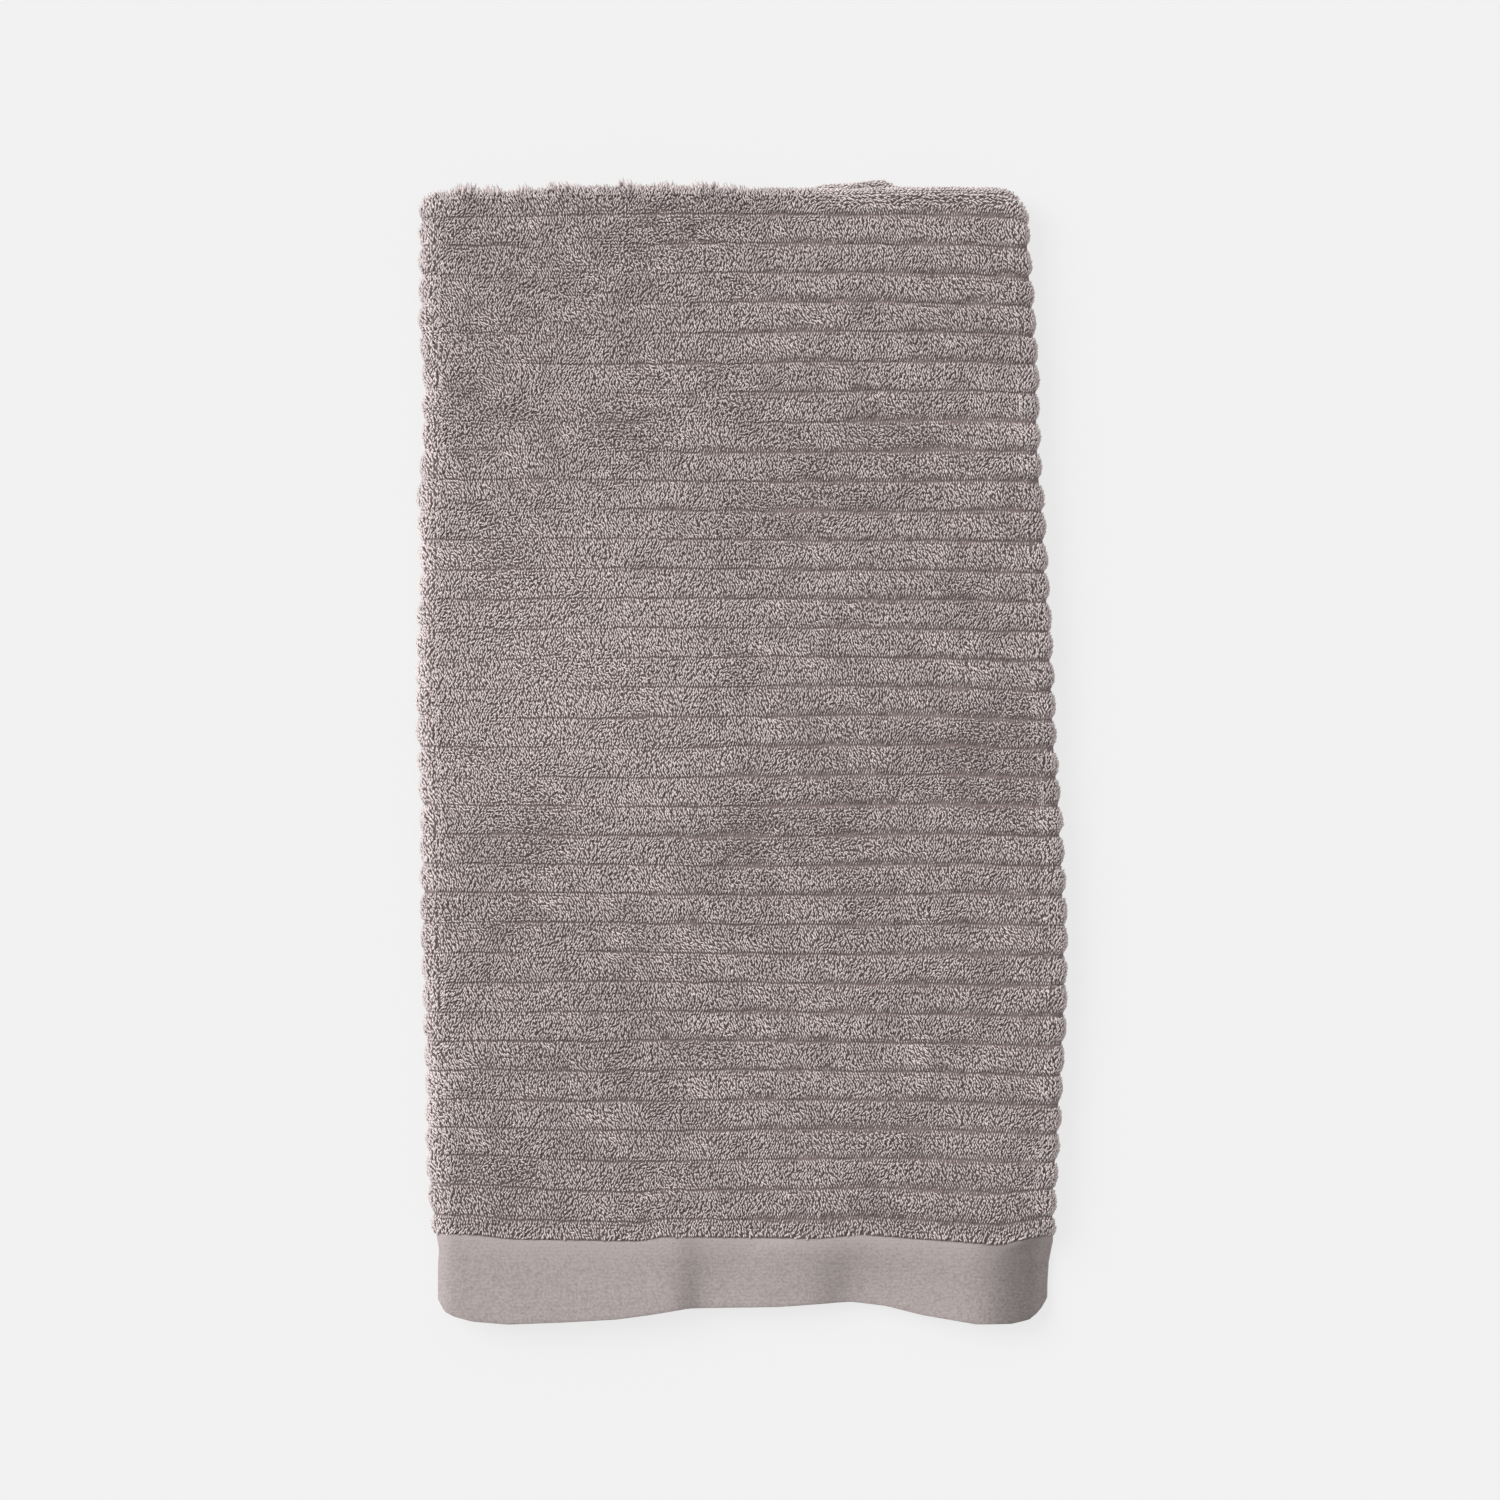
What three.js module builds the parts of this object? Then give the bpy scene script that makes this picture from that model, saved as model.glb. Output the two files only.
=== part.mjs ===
// Folded bath towel of ribbed looped cloth with a flat-woven band at each end.
// Millimetres. X runs across the towel, Y towards the crosswise fold, Z up from the surface it rests on.
// The cloth is folded in half across its length, then both sides are folded under.
import * as THREE from 'three';

// The cloth.
const CLOTH_WIDTH = 700;
const PILE_THICKNESS = 5;
const BAND_THICKNESS = 2;
const LAYER_GAP = 0.6;
const SIDE_GAP = 1;
const CLOTH_COLOR = 0x99918d;

// Ribs across the cloth, counted down from the first groove below the crosswise fold.
const RIB_PITCH = 18.19;
const RIB_COUNT = 34;
const FIRST_GROOVE_Y = 333;
const GROOVE_DEPTH = 1.5;
const GROOVE_DEPTH_UNDER = 1;
const SHOULDER_DROP = 0.45;
const SHOULDER_SHARE = 0.17;

// Lines along Y that the folded towel is laid out from.
const FOLD_Y = 350.5;
const BAND_LINE_Y = -299.5;
const HEM_Y = -349.5;
const LOWER_HEM_SETBACK = 3;
const PILE_STEP = 1.6;
const HEM_ROUNDING = 1;

// At the hem the paired layers lie closer together and the left roll widens a little.
const HEM_LAYER_GAP = 0.7;
const HEM_SIDE_GAP = 11;
const LEFT_HEM_ROLL = 8;

// Over the band the right roll is wide and slopes down to the surface it rests on.
const RIGHT_ROLL_FROM_Y = -289;
const RIGHT_ROLL_TO_Y = -306;
const RIGHT_HEM_ROLL = 32;
const RIGHT_HEM_CREASE = 1.1;
const RIGHT_HEM_DROOP = 2.5;

// Share of the cloth left over from the face that is folded under on the left.
const LEFT_FLAP_SHARE = 0.54;

// The face sinks a little where no flap lies under it and rises and falls in a gentle swell.
const PILE_SAG = 1.4;
const FACE_SWELL = 0.9;
const SWELL_SPAN_X = 52;
const SWELL_SPAN_Y = 85;
const SWELL_START_X = 1.3;
const SWELL_START_Y = 0.4;

// The ribs wander by about a millimetre along their length.
const WANDER = 0.9;
const WANDER_SPAN_X = 58;
const WANDER_SPAN_Y = 41;
const LEFT_RISE = 4.6;
const LEFT_RISE_FROM_X = -60;
const LEFT_RISE_TO_X = -170;
const LEFT_RISE_FROM_Y = -120;
const RIGHT_FALL = 1.6;
const RIGHT_FALL_FROM_X = 120;
const RIGHT_FALL_TO_X = 190;

// The right flap's fold shows past the face's fold over a short length.
const PEEK = [
  { x: 40, length: 0 },
  { x: 52, length: 3.6 },
  { x: 88, length: 6.6 },
  { x: 99, length: 0 },
];

// How far the uneven edges reach into the cloth.
const FOLD_EDGE_REACH = 30;
const BAND_EDGE_REACH = 60;

// Left and right outline of the folded towel along Y.
const SIDES = [
  { y: -350, left: -186.5, right: 190 },
  { y: -335, left: -186.5, right: 190.2 },
  { y: -320, left: -186.5, right: 191 },
  { y: -310, left: -186.8, right: 193.2 },
  { y: -302, left: -188.2, right: 195 },
  { y: -290, left: -190.2, right: 194.8 },
  { y: -271, left: -192, right: 194.9 },
  { y: -234, left: -193.4, right: 197.4 },
  { y: -197, left: -193.4, right: 199.2 },
  { y: -160, left: -195.1, right: 201.6 },
  { y: -104, left: -196.4, right: 201.8 },
  { y: -67, left: -197, right: 200.1 },
  { y: -30, left: -197, right: 198.3 },
  { y: 7, left: -198.8, right: 195.4 },
  { y: 44, left: -199.4, right: 193.9 },
  { y: 81, left: -198.7, right: 192.4 },
  { y: 99, left: -197.3, right: 190.8 },
  { y: 118, left: -197.2, right: 189.8 },
  { y: 155, left: -198.8, right: 187.8 },
  { y: 173, left: -197.1, right: 186.2 },
  { y: 192, left: -195.6, right: 185.2 },
  { y: 229, left: -195.5, right: 184.4 },
  { y: 266, left: -197.6, right: 182.6 },
  { y: 303, left: -197.4, right: 180 },
  { y: 335, left: -197.2, right: 178.2 },
  { y: 351, left: -197.2, right: 178 },
];

// Outer edge of the crosswise fold along X, with both corners rounded.
const FOLD_EDGE = [
  { x: -197.5, y: 339.5 },
  { x: -194, y: 345.6 },
  { x: -187, y: 347.4 },
  { x: -165, y: 349.2 },
  { x: -143, y: 347.8 },
  { x: -110, y: 351 },
  { x: -60, y: 351.6 },
  { x: -22, y: 351.4 },
  { x: 1, y: 349.4 },
  { x: 18, y: 350.8 },
  { x: 70, y: 350 },
  { x: 103, y: 351.2 },
  { x: 155, y: 351 },
  { x: 163, y: 350.2 },
  { x: 169, y: 347.6 },
  { x: 174, y: 342.6 },
  { x: 177, y: 336 },
  { x: 178.5, y: 331 },
];

// How far the hem of the face sinks along X, between the flaps, over the right one and into the right roll.
const HEM_SINK = [
  { x: -48, drop: 0 },
  { x: -40, drop: 0.3 },
  { x: -36, drop: 1.2 },
  { x: -26, drop: 4.2 },
  { x: -20, drop: 4.6 },
  { x: 10, drop: 4.4 },
  { x: 40, drop: 4.8 },
  { x: 50, drop: 5.8 },
  { x: 62, drop: 9 },
  { x: 68, drop: 9.8 },
  { x: 76, drop: 9.6 },
  { x: 100, drop: 7.2 },
  { x: 120, drop: 4.6 },
  { x: 152, drop: 1.5 },
];

// Where the pile ends and the band begins.
const BAND_LINE = [
  { x: -186, y: -297 },
  { x: -165, y: -297.5 },
  { x: -140, y: -300.5 },
  { x: -62, y: -301.6 },
  { x: -48, y: -299 },
  { x: 50, y: -300 },
  { x: 74, y: -297.5 },
  { x: 105, y: -300 },
  { x: 160, y: -304 },
  { x: 186, y: -298 },
];

// Edge of the hem, drawn in where the face has no flap under it.
const HEM_EDGE = [
  { x: -186, y: -336 },
  { x: -182, y: -342.5 },
  { x: -176, y: -345.5 },
  { x: -165, y: -348.5 },
  { x: -143, y: -350.3 },
  { x: -110, y: -349.1 },
  { x: -76, y: -347.2 },
  { x: -54, y: -344.2 },
  { x: -32, y: -340.6 },
  { x: 23, y: -339.8 },
  { x: 68, y: -336.9 },
  { x: 90, y: -339.4 },
  { x: 112, y: -344.8 },
  { x: 146, y: -350.4 },
  { x: 168, y: -350.1 },
  { x: 179, y: -347.6 },
  { x: 185, y: -342.7 },
  { x: 190, y: -335 },
];

// Positions of the cross-sections, as shares of each run of the path round the folded towel.
const LEFT_FLAP_STATIONS = [1, 0.45, 0];
const LEFT_ROLL_STATIONS = [0.2, 0.4, 0.6, 0.8];
const RIGHT_ROLL_STATIONS = [0.15, 0.35, 0.55, 0.78];
const LEFT_FACE_STATIONS = [0, 0.12, 0.5, 0.84, 1];
const GAP_FACE_STATIONS = [0.3, 0.65];
const RIGHT_FACE_STATIONS = [0, 0.3, 0.6, 0.88, 1];
const RIGHT_FLAP_STATIONS = [0, 0.5, 0.67, 0.84, 1];

const HIDDEN_ROW_COUNT = 12;
const BAND_ROW_COUNT = 4;
const FOLD_ARC_STEPS = 4;

/** Mix of two numbers by a share. */
function mix(from, to, share) {
  return from + (to - from) * share;
}

/** Share that eases in and out between two limits. */
function ease(from, to, at) {
  const share = THREE.MathUtils.clamp((at - from) / (to - from), 0, 1);
  return share * share * (3 - 2 * share);
}

/** Value of a table's column at a place along its key column, straight between the table's lines. */
function lookUp(table, key, column, at) {
  const next = table.findIndex((line) => line[key] > at);
  if (next === 0) {
    return table[0][column];
  }
  if (next < 0) {
    return table[table.length - 1][column];
  }
  const before = table[next - 1];
  const after = table[next];
  return mix(before[column], after[column], (at - before[key]) / (after[key] - before[key]));
}

/** Length of half an ellipse from its two half axes. */
function halfRound(across, high) {
  const flatness = ((across - high) / (across + high)) ** 2;
  return (Math.PI / 2) * (across + high) * (1 + flatness / 4);
}

/** How the stack of layers lies at a place along Y: layer spacing, side rolls, flap edges and height. */
function stackAt(y) {
  const drape = ease(BAND_LINE_Y, HEM_Y, y);
  const rightDrape = ease(RIGHT_ROLL_FROM_Y, RIGHT_ROLL_TO_Y, y);
  const thinning = ease(BAND_LINE_Y, (BAND_LINE_Y + HEM_Y) / 2, y);
  const reach = mix(PILE_THICKNESS / 2, BAND_THICKNESS / 2, thinning);
  const pileSpacing = (PILE_THICKNESS + LAYER_GAP) / 2;
  const hemSpacing = (BAND_THICKNESS + HEM_LAYER_GAP) / 2;
  const spacing = mix(pileSpacing, hemSpacing, drape);
  const pileRoll = pileSpacing + (PILE_THICKNESS + SIDE_GAP) / 2;
  const hemRoll = hemSpacing + (BAND_THICKNESS + HEM_SIDE_GAP) / 2;
  const roll = mix(pileRoll, hemRoll, drape);
  const leftRoll = mix(pileRoll, LEFT_HEM_ROLL, drape);
  const rightRoll = mix(pileRoll, RIGHT_HEM_ROLL, rightDrape);
  const left = lookUp(SIDES, 'y', 'left', y) + leftRoll + spacing + reach;
  const right = lookUp(SIDES, 'y', 'right', y) - rightRoll - spacing - reach;
  const flaps = CLOTH_WIDTH - (right - left) - halfRound(leftRoll, roll) - halfRound(rightRoll, roll);
  return {
    drape,
    spacing,
    roll,
    leftRoll,
    rightRoll,
    left,
    right,
    leftFlap: left + flaps * LEFT_FLAP_SHARE,
    rightFlap: right - flaps * (1 - LEFT_FLAP_SHARE),
    height: roll + spacing + reach,
    crease: mix(1, RIGHT_HEM_CREASE, rightDrape),
    droop: mix(1, RIGHT_HEM_DROOP, rightDrape),
    rightSink: drape * lookUp(HEM_SINK, 'x', 'drop', right),
  };
}

/** Cross-sections in order: the left flap's edge, the left roll, the face, the right roll, the right flap. */
function listStations() {
  const stations = [];
  LEFT_FLAP_STATIONS.forEach((share) => stations.push({ run: 'leftFlap', share, under: 1 }));
  LEFT_ROLL_STATIONS.forEach((share) => stations.push({ run: 'leftRoll', share, under: 1 - share }));
  LEFT_FACE_STATIONS.forEach((share) => stations.push({ run: 'faceLeft', share, under: 0 }));
  GAP_FACE_STATIONS.forEach((share) => stations.push({ run: 'faceGap', share, under: 0 }));
  RIGHT_FACE_STATIONS.forEach((share) => stations.push({ run: 'faceRight', share, under: 0 }));
  RIGHT_ROLL_STATIONS.forEach((share) => stations.push({ run: 'rightRoll', share, under: share }));
  RIGHT_FLAP_STATIONS.forEach((share) => stations.push({ run: 'rightFlap', share, under: 1 }));
  return stations;
}

/** Height added to the face: a gentle swell, less the sink between the flaps and along the hem. */
function liftAt(stack, x, y) {
  const across = Math.sin((Math.PI * (x - stack.left)) / (stack.right - stack.left));
  const swell = Math.sin(x / SWELL_SPAN_X + SWELL_START_X) * Math.sin(y / SWELL_SPAN_Y + SWELL_START_Y);
  const gap = THREE.MathUtils.clamp((x - stack.leftFlap) / (stack.rightFlap - stack.leftFlap), 0, 1);
  const sag = PILE_SAG * Math.sin(Math.PI * gap) ** 2;
  const sink = lookUp(HEM_SINK, 'x', 'drop', x);
  return (FACE_SWELL * across * (1 + swell)) / 2 - mix(sag, sink, stack.drape);
}

/** Place in the XZ plane of a point that lies a given distance outside the middle of the folded pair. */
function placeAcross(station, stack, outside, y) {
  const { left, right, leftFlap, rightFlap, roll, height } = stack;
  const top = height + roll + outside;
  const under = height - roll - outside;
  const angle = Math.PI * station.share;
  switch (station.run) {
    case 'leftFlap':
      return { x: mix(left, leftFlap, station.share), z: under };
    case 'rightFlap':
      return { x: mix(right, rightFlap, station.share), z: under };
    case 'leftRoll':
      return {
        x: left - (stack.leftRoll + outside) * Math.sin(angle),
        z: height - (roll + outside) * Math.cos(angle),
      };
    case 'rightRoll': {
      const share = ((1 + Math.cos(angle)) / 2) ** stack.droop;
      return {
        x: right + (stack.rightRoll + outside) * Math.sin(angle) ** stack.crease,
        z: mix(under, top - stack.rightSink, share),
      };
    }
    case 'faceGap': {
      const x = mix(leftFlap, rightFlap, station.share);
      return { x, z: top + liftAt(stack, x, y) };
    }
    case 'faceLeft': {
      const x = mix(left, leftFlap, station.share);
      return { x, z: top + liftAt(stack, x, y) };
    }
    default: {
      const x = mix(rightFlap, right, station.share);
      return { x, z: top + liftAt(stack, x, y) };
    }
  }
}

/** Shift along Y of a place on the cloth, from the uneven edges and the wandering ribs. */
function shiftAlong(station, x, y) {
  const atFold = ease(FOLD_Y - FOLD_EDGE_REACH, FOLD_Y, y);
  const atLine = y > BAND_LINE_Y ? ease(BAND_LINE_Y + BAND_EDGE_REACH, BAND_LINE_Y, y) : 1;
  const atHem = THREE.MathUtils.clamp((BAND_LINE_Y - y) / (BAND_LINE_Y - HEM_Y), 0, 1);
  const fold = lookUp(FOLD_EDGE, 'x', 'y', x) - FOLD_Y;
  const line = lookUp(BAND_LINE, 'x', 'y', x) - BAND_LINE_Y;
  const hem = lookUp(HEM_EDGE, 'x', 'y', x) - HEM_Y;
  const peek = station.run === 'rightFlap' ? lookUp(PEEK, 'x', 'length', x) : 0;
  const inner = (1 - atFold) * (1 - atLine);
  const wave = WANDER * Math.sin(x / WANDER_SPAN_X + y / WANDER_SPAN_Y);
  const rise = LEFT_RISE * ease(LEFT_RISE_FROM_X, LEFT_RISE_TO_X, x) * ease(LEFT_RISE_FROM_Y, BAND_LINE_Y, y);
  const fall = RIGHT_FALL * ease(RIGHT_FALL_FROM_X, RIGHT_FALL_TO_X, x);
  return atFold * (fold + peek) + atLine * mix(line, hem, atHem) + inner * (wave + rise - fall);
}

/** Point of the cloth for one row of the folded pair at one cross-section. */
function placePoint(row, station) {
  const stack = stackAt(row.y);
  const drop = row.drop * (1 - station.under) + row.dropUnder * station.under;
  const radius = stack.spacing + row.reach - drop;
  const place = placeAcross(station, stack, radius * Math.cos(row.turn), row.y);
  const surface = placeAcross(station, stack, stack.spacing + Math.abs(row.reach), row.y);
  const along = row.y + shiftAlong(station, surface.x, row.y) + radius * Math.sin(row.turn);
  return [place.x, along, place.z];
}

/** Rows of the face's outer side from the hem to the fold, with a groove between ribs. */
function listFaceRows() {
  const rows = [];
  const plain = { drop: 0, dropUnder: 0, turn: 0 };
  const bandReach = BAND_THICKNESS / 2;
  const pileReach = PILE_THICKNESS / 2;
  for (let step = 0; step <= BAND_ROW_COUNT; step += 1) {
    const y = mix(HEM_Y + HEM_ROUNDING, BAND_LINE_Y - PILE_STEP / 2, step / BAND_ROW_COUNT);
    rows.push({ ...plain, y, reach: bandReach });
  }
  rows.push({ ...plain, y: BAND_LINE_Y + PILE_STEP / 2, reach: pileReach, drop: SHOULDER_DROP });
  for (let rib = RIB_COUNT; rib >= 0; rib -= 1) {
    const groove = FIRST_GROOVE_Y - rib * RIB_PITCH;
    const lower = groove + SHOULDER_SHARE * RIB_PITCH;
    const upper = groove + (1 - SHOULDER_SHARE) * RIB_PITCH;
    rows.push({ ...plain, y: groove, reach: pileReach, drop: GROOVE_DEPTH, dropUnder: GROOVE_DEPTH_UNDER });
    rows.push({ ...plain, y: lower, reach: pileReach, drop: SHOULDER_DROP });
    if (rib > 0) {
      rows.push({ ...plain, y: groove + RIB_PITCH / 2, reach: pileReach });
      rows.push({ ...plain, y: upper, reach: pileReach, drop: SHOULDER_DROP });
    }
  }
  return rows;
}

/** Rows of a smooth side of one layer from the hem to the fold. */
function listPlainRows(side, turn, hem) {
  const rows = [];
  const plain = { drop: 0, dropUnder: 0, turn };
  for (let step = 0; step <= BAND_ROW_COUNT; step += 1) {
    const y = mix(hem + HEM_ROUNDING, BAND_LINE_Y - PILE_STEP / 2, step / BAND_ROW_COUNT);
    rows.push({ ...plain, y, reach: (side * BAND_THICKNESS) / 2 });
  }
  for (let step = 0; step < HIDDEN_ROW_COUNT; step += 1) {
    const y = mix(BAND_LINE_Y + PILE_STEP / 2, FOLD_Y - FOLD_EDGE_REACH / 2, step / (HIDDEN_ROW_COUNT - 1));
    rows.push({ ...plain, y, reach: (side * PILE_THICKNESS) / 2 });
  }
  return rows;
}

/** Rows round the crosswise fold on its outer or inner side, from the face to the back. */
function listFoldRows(side) {
  const outerRadius = PILE_THICKNESS + LAYER_GAP / 2;
  const rows = [];
  for (let step = 0; step <= FOLD_ARC_STEPS; step += 1) {
    const turn = (Math.PI * step) / FOLD_ARC_STEPS;
    rows.push({ y: FOLD_Y - outerRadius, reach: (side * PILE_THICKNESS) / 2, drop: 0, dropUnder: 0, turn });
  }
  return rows;
}

/** Gives each row its place along the folded pair, from the face's hem round to the back's hem. */
function measurePass(rows) {
  return rows.map((row) => ({ ...row, pass: row.turn === Math.PI ? 2 * FOLD_Y - row.y : row.y + row.turn }));
}

/** Mesh of the cloth: its section of outer and inner rows carried through all cross-sections. */
function buildCloth() {
  const stations = listStations();
  const lowerHem = HEM_Y + LOWER_HEM_SETBACK;
  const outer = measurePass([
    ...listFaceRows(),
    ...listFoldRows(1),
    ...listPlainRows(1, Math.PI, lowerHem).reverse(),
  ]);
  const inner = measurePass([
    ...listPlainRows(-1, 0, HEM_Y),
    ...listFoldRows(-1),
    ...listPlainRows(-1, Math.PI, lowerHem).reverse(),
  ]);
  const faceTip = { y: HEM_Y, reach: 0, drop: 0, dropUnder: 0, turn: 0 };
  const backTip = { y: lowerHem, reach: 0, drop: 0, dropUnder: 0, turn: Math.PI };
  const loop = [faceTip, ...outer, backTip, ...[...inner].reverse()];
  const positions = loop.flatMap((row) => stations.flatMap((station) => placePoint(row, station)));
  const indices = [];
  const pointAt = (row, station) => (row % loop.length) * stations.length + station;
  for (let row = 0; row < loop.length; row += 1) {
    for (let station = 0; station < stations.length - 1; station += 1) {
      const near = pointAt(row, station);
      const far = pointAt(row + 1, station);
      indices.push(near, near + 1, far);
      indices.push(near + 1, far + 1, far);
    }
  }
  const zip = zipSides(outer, inner, loop.length);
  zip.forEach(([a, b, c]) => indices.push(pointAt(a, 0), pointAt(b, 0), pointAt(c, 0)));
  const last = stations.length - 1;
  zip.forEach(([a, b, c]) => indices.push(pointAt(a, last), pointAt(c, last), pointAt(b, last)));
  const geometry = new THREE.BufferGeometry();
  geometry.setAttribute('position', new THREE.Float32BufferAttribute(positions, 3));
  geometry.setIndex(indices);
  return geometry;
}

/** Triangles between the outer and inner rows at a free side edge, as rows of the loop. */
function zipSides(outer, inner, loopLength) {
  const triangles = [];
  const outerRow = (place) => place + 1;
  const innerRow = (place) => loopLength - 1 - place;
  const backTipRow = outer.length + 1;
  let out = 0;
  let inn = 0;
  triangles.push([0, outerRow(0), innerRow(0)]);
  while (out < outer.length - 1 || inn < inner.length - 1) {
    const innerDone = inn === inner.length - 1;
    const outerNext = out < outer.length - 1 && (innerDone || outer[out + 1].pass <= inner[inn + 1].pass);
    if (outerNext) {
      triangles.push([outerRow(out), outerRow(out + 1), innerRow(inn)]);
      out += 1;
    } else {
      triangles.push([outerRow(out), innerRow(inn + 1), innerRow(inn)]);
      inn += 1;
    }
  }
  triangles.push([outerRow(out), backTipRow, innerRow(inn)]);
  return triangles;
}

/** Moves the geometry so that the middle of its underside is the origin. */
function seatOnOrigin(geometry) {
  geometry.computeBoundingBox();
  const { min, max } = geometry.boundingBox;
  geometry.translate(-(min.x + max.x) / 2, -(min.y + max.y) / 2, -min.z);
  return geometry;
}

/** The folded towel as one piece of cloth. */
function buildTowel() {
  const material = new THREE.MeshStandardMaterial({ color: CLOTH_COLOR, roughness: 0.95, metalness: 0 });
  material.name = 'ribbed_cotton_loop_cloth';
  const cloth = new THREE.Mesh(seatOnOrigin(buildCloth()), material);
  cloth.name = 'towel_cloth';
  const towel = new THREE.Group();
  towel.name = 'folded_bath_towel';
  towel.add(cloth);
  return towel;
}

export default buildTowel();
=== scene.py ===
"""Folded bath towel: ribbed cotton loops on a woven ground, with a flat-woven end band."""
import logging
from dataclasses import dataclass, field
from enum import Enum
from math import pi

import bpy
import numpy as np
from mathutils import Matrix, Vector


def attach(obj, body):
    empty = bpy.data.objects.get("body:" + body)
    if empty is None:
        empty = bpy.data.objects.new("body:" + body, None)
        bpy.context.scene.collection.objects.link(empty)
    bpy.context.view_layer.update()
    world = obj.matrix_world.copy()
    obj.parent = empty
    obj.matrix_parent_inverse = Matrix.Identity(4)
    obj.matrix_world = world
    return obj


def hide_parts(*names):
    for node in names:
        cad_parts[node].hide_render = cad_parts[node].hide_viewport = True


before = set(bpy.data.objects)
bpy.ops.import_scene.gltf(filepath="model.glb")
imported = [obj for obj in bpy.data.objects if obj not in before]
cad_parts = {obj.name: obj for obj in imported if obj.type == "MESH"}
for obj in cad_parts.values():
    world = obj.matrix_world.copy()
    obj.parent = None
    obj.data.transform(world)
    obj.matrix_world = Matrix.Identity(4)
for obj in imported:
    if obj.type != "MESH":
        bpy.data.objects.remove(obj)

log = logging.getLogger("towel")
MM = 0.001
TINY = 1e-6
Array = np.ndarray


class Face(Enum):
    """Which side of the folded pair of layers a row of cloth is on."""

    FRONT = 0.0
    BACK = pi


def ease(start: float, stop: float, at: Array) -> Array:
    """Share from 0 at start to 1 at stop, eased at both ends: 3s^2 - 2s^3 of the clamped share s."""
    share = np.clip((np.asarray(at, float) - start) / (stop - start), 0.0, 1.0)
    return share * share * (3.0 - 2.0 * share)


def mix(first: Array, second: Array, share: Array) -> Array:
    """Straight mix of two values by a share."""
    return first + (second - first) * share


def column(table: tuple, key: str, name: str, at: Array) -> Array:
    """Value of a table's named column at places along its key column, straight between lines."""
    keys = [line[key] for line in table]
    return np.interp(at, keys, [line[name] for line in table])


@dataclass(frozen=True)
class SmoothNoise:
    """Seeded noise over X and Y: random grid values, eased between the grid's points.

    Attributes:
        seed: Seed of the random grid.
        span_x: Grid spacing along X in millimetres.
        span_y: Grid spacing along Y in millimetres.
        size: Largest value of the noise.
        cells: Points along each side of the grid, after which it repeats.
    """

    seed: int
    span_x: float
    span_y: float
    size: float = 1.0
    cells: int = 256

    def at(self, x: Array, y: Array) -> Array:
        """Noise from -size to size at places in millimetres.

        Args:
            x: Places along X.
            y: Places along Y.

        Returns:
            One value for each place.
        """
        grid = np.random.default_rng(self.seed).uniform(-1.0, 1.0, (self.cells, self.cells))
        grid_x = np.asarray(x, float) / self.span_x + self.cells / 2
        grid_y = np.asarray(y, float) / self.span_y + self.cells / 2
        col, row = np.floor(grid_x).astype(int), np.floor(grid_y).astype(int)
        share_x, share_y = ease(0, 1, grid_x - col), ease(0, 1, grid_y - row)
        col, beside = col % self.cells, (col + 1) % self.cells
        row, above = row % self.cells, (row + 1) % self.cells
        low = mix(grid[row, col], grid[row, beside], share_x)
        high = mix(grid[above, col], grid[above, beside], share_x)
        return self.size * mix(low, high, share_y)


def spot_share(spot: dict, x: Array, y: Array) -> Array:
    """Share from 1 at a spot's middle towards 0: exp(-(dx/width)^2 - (dy/height)^2)."""
    return np.exp(-(((x - spot["x"]) / spot["width"]) ** 2) - ((y - spot["y"]) / spot["height"]) ** 2)


def rows(names: str, *lines: tuple) -> tuple:
    """Table of named columns from the columns' names and its lines."""
    return tuple(dict(zip(names.split(), line)) for line in lines)


SIDES = rows(
    "y left right",
    (-350, -186.5, 190), (-335, -186.5, 190.2), (-320, -186.5, 191), (-310, -186.8, 193.2),
    (-302, -188.2, 195), (-290, -190.2, 194.8), (-271, -192, 194.9), (-234, -193.4, 197.4),
    (-197, -193.4, 199.2), (-160, -195.1, 201.6), (-104, -196.4, 201.8), (-67, -197, 200.1),
    (-30, -197, 198.3), (7, -198.8, 195.4), (44, -199.4, 193.9), (81, -198.7, 192.4),
    (99, -197.3, 190.8), (118, -197.2, 189.8), (155, -198.8, 187.8), (173, -197.1, 186.2),
    (192, -195.6, 185.2), (229, -195.5, 184.4), (266, -197.6, 182.6), (303, -197.4, 180),
    (335, -197.2, 178.2), (351, -197.2, 178),
)
FOLD_EDGE = rows(
    "x y",
    (-197.5, 339.5), (-194, 345.6), (-187, 347.4), (-165, 349.2), (-143, 347.8), (-110, 351),
    (-60, 351.6), (-22, 351.4), (1, 349.4), (18, 350.8), (70, 350), (103, 351.2), (155, 351),
    (163, 350.2), (169, 347.6), (174, 342.6), (177, 336), (178.5, 331),
)
PEEK = rows("x length", (40, 0), (52, 3.6), (88, 6.6), (99, 0))
BAND_LINE = rows(
    "x y",
    (-186, -297), (-165, -297.5), (-140, -300.5), (-62, -301.6), (-48, -299), (50, -300),
    (74, -297.5), (105, -300), (160, -304), (186, -298),
)
HEM_EDGE = rows(
    "x y",
    (-186, -336), (-182, -342.5), (-176, -345.5), (-165, -348.5), (-143, -350.3), (-110, -349.1),
    (-76, -347.2), (-54, -344.2), (-32, -340.6), (23, -339.8), (68, -336.9), (90, -339.4),
    (112, -344.8), (146, -350.4), (168, -350.1), (179, -347.6), (185, -342.7), (190, -335),
)
HEM_SINK = rows(
    "x drop",
    (-48, 0), (-40, 0.3), (-36, 1.2), (-26, 4.2), (-20, 4.6), (10, 4.4), (40, 4.8), (50, 5.8),
    (62, 9), (68, 9.8), (76, 9.6), (100, 7.2), (120, 4.6), (152, 1.5),
)
LIGHT_PATCH = rows("x y width height", (-115, 45, 75, 85))[0]
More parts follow.
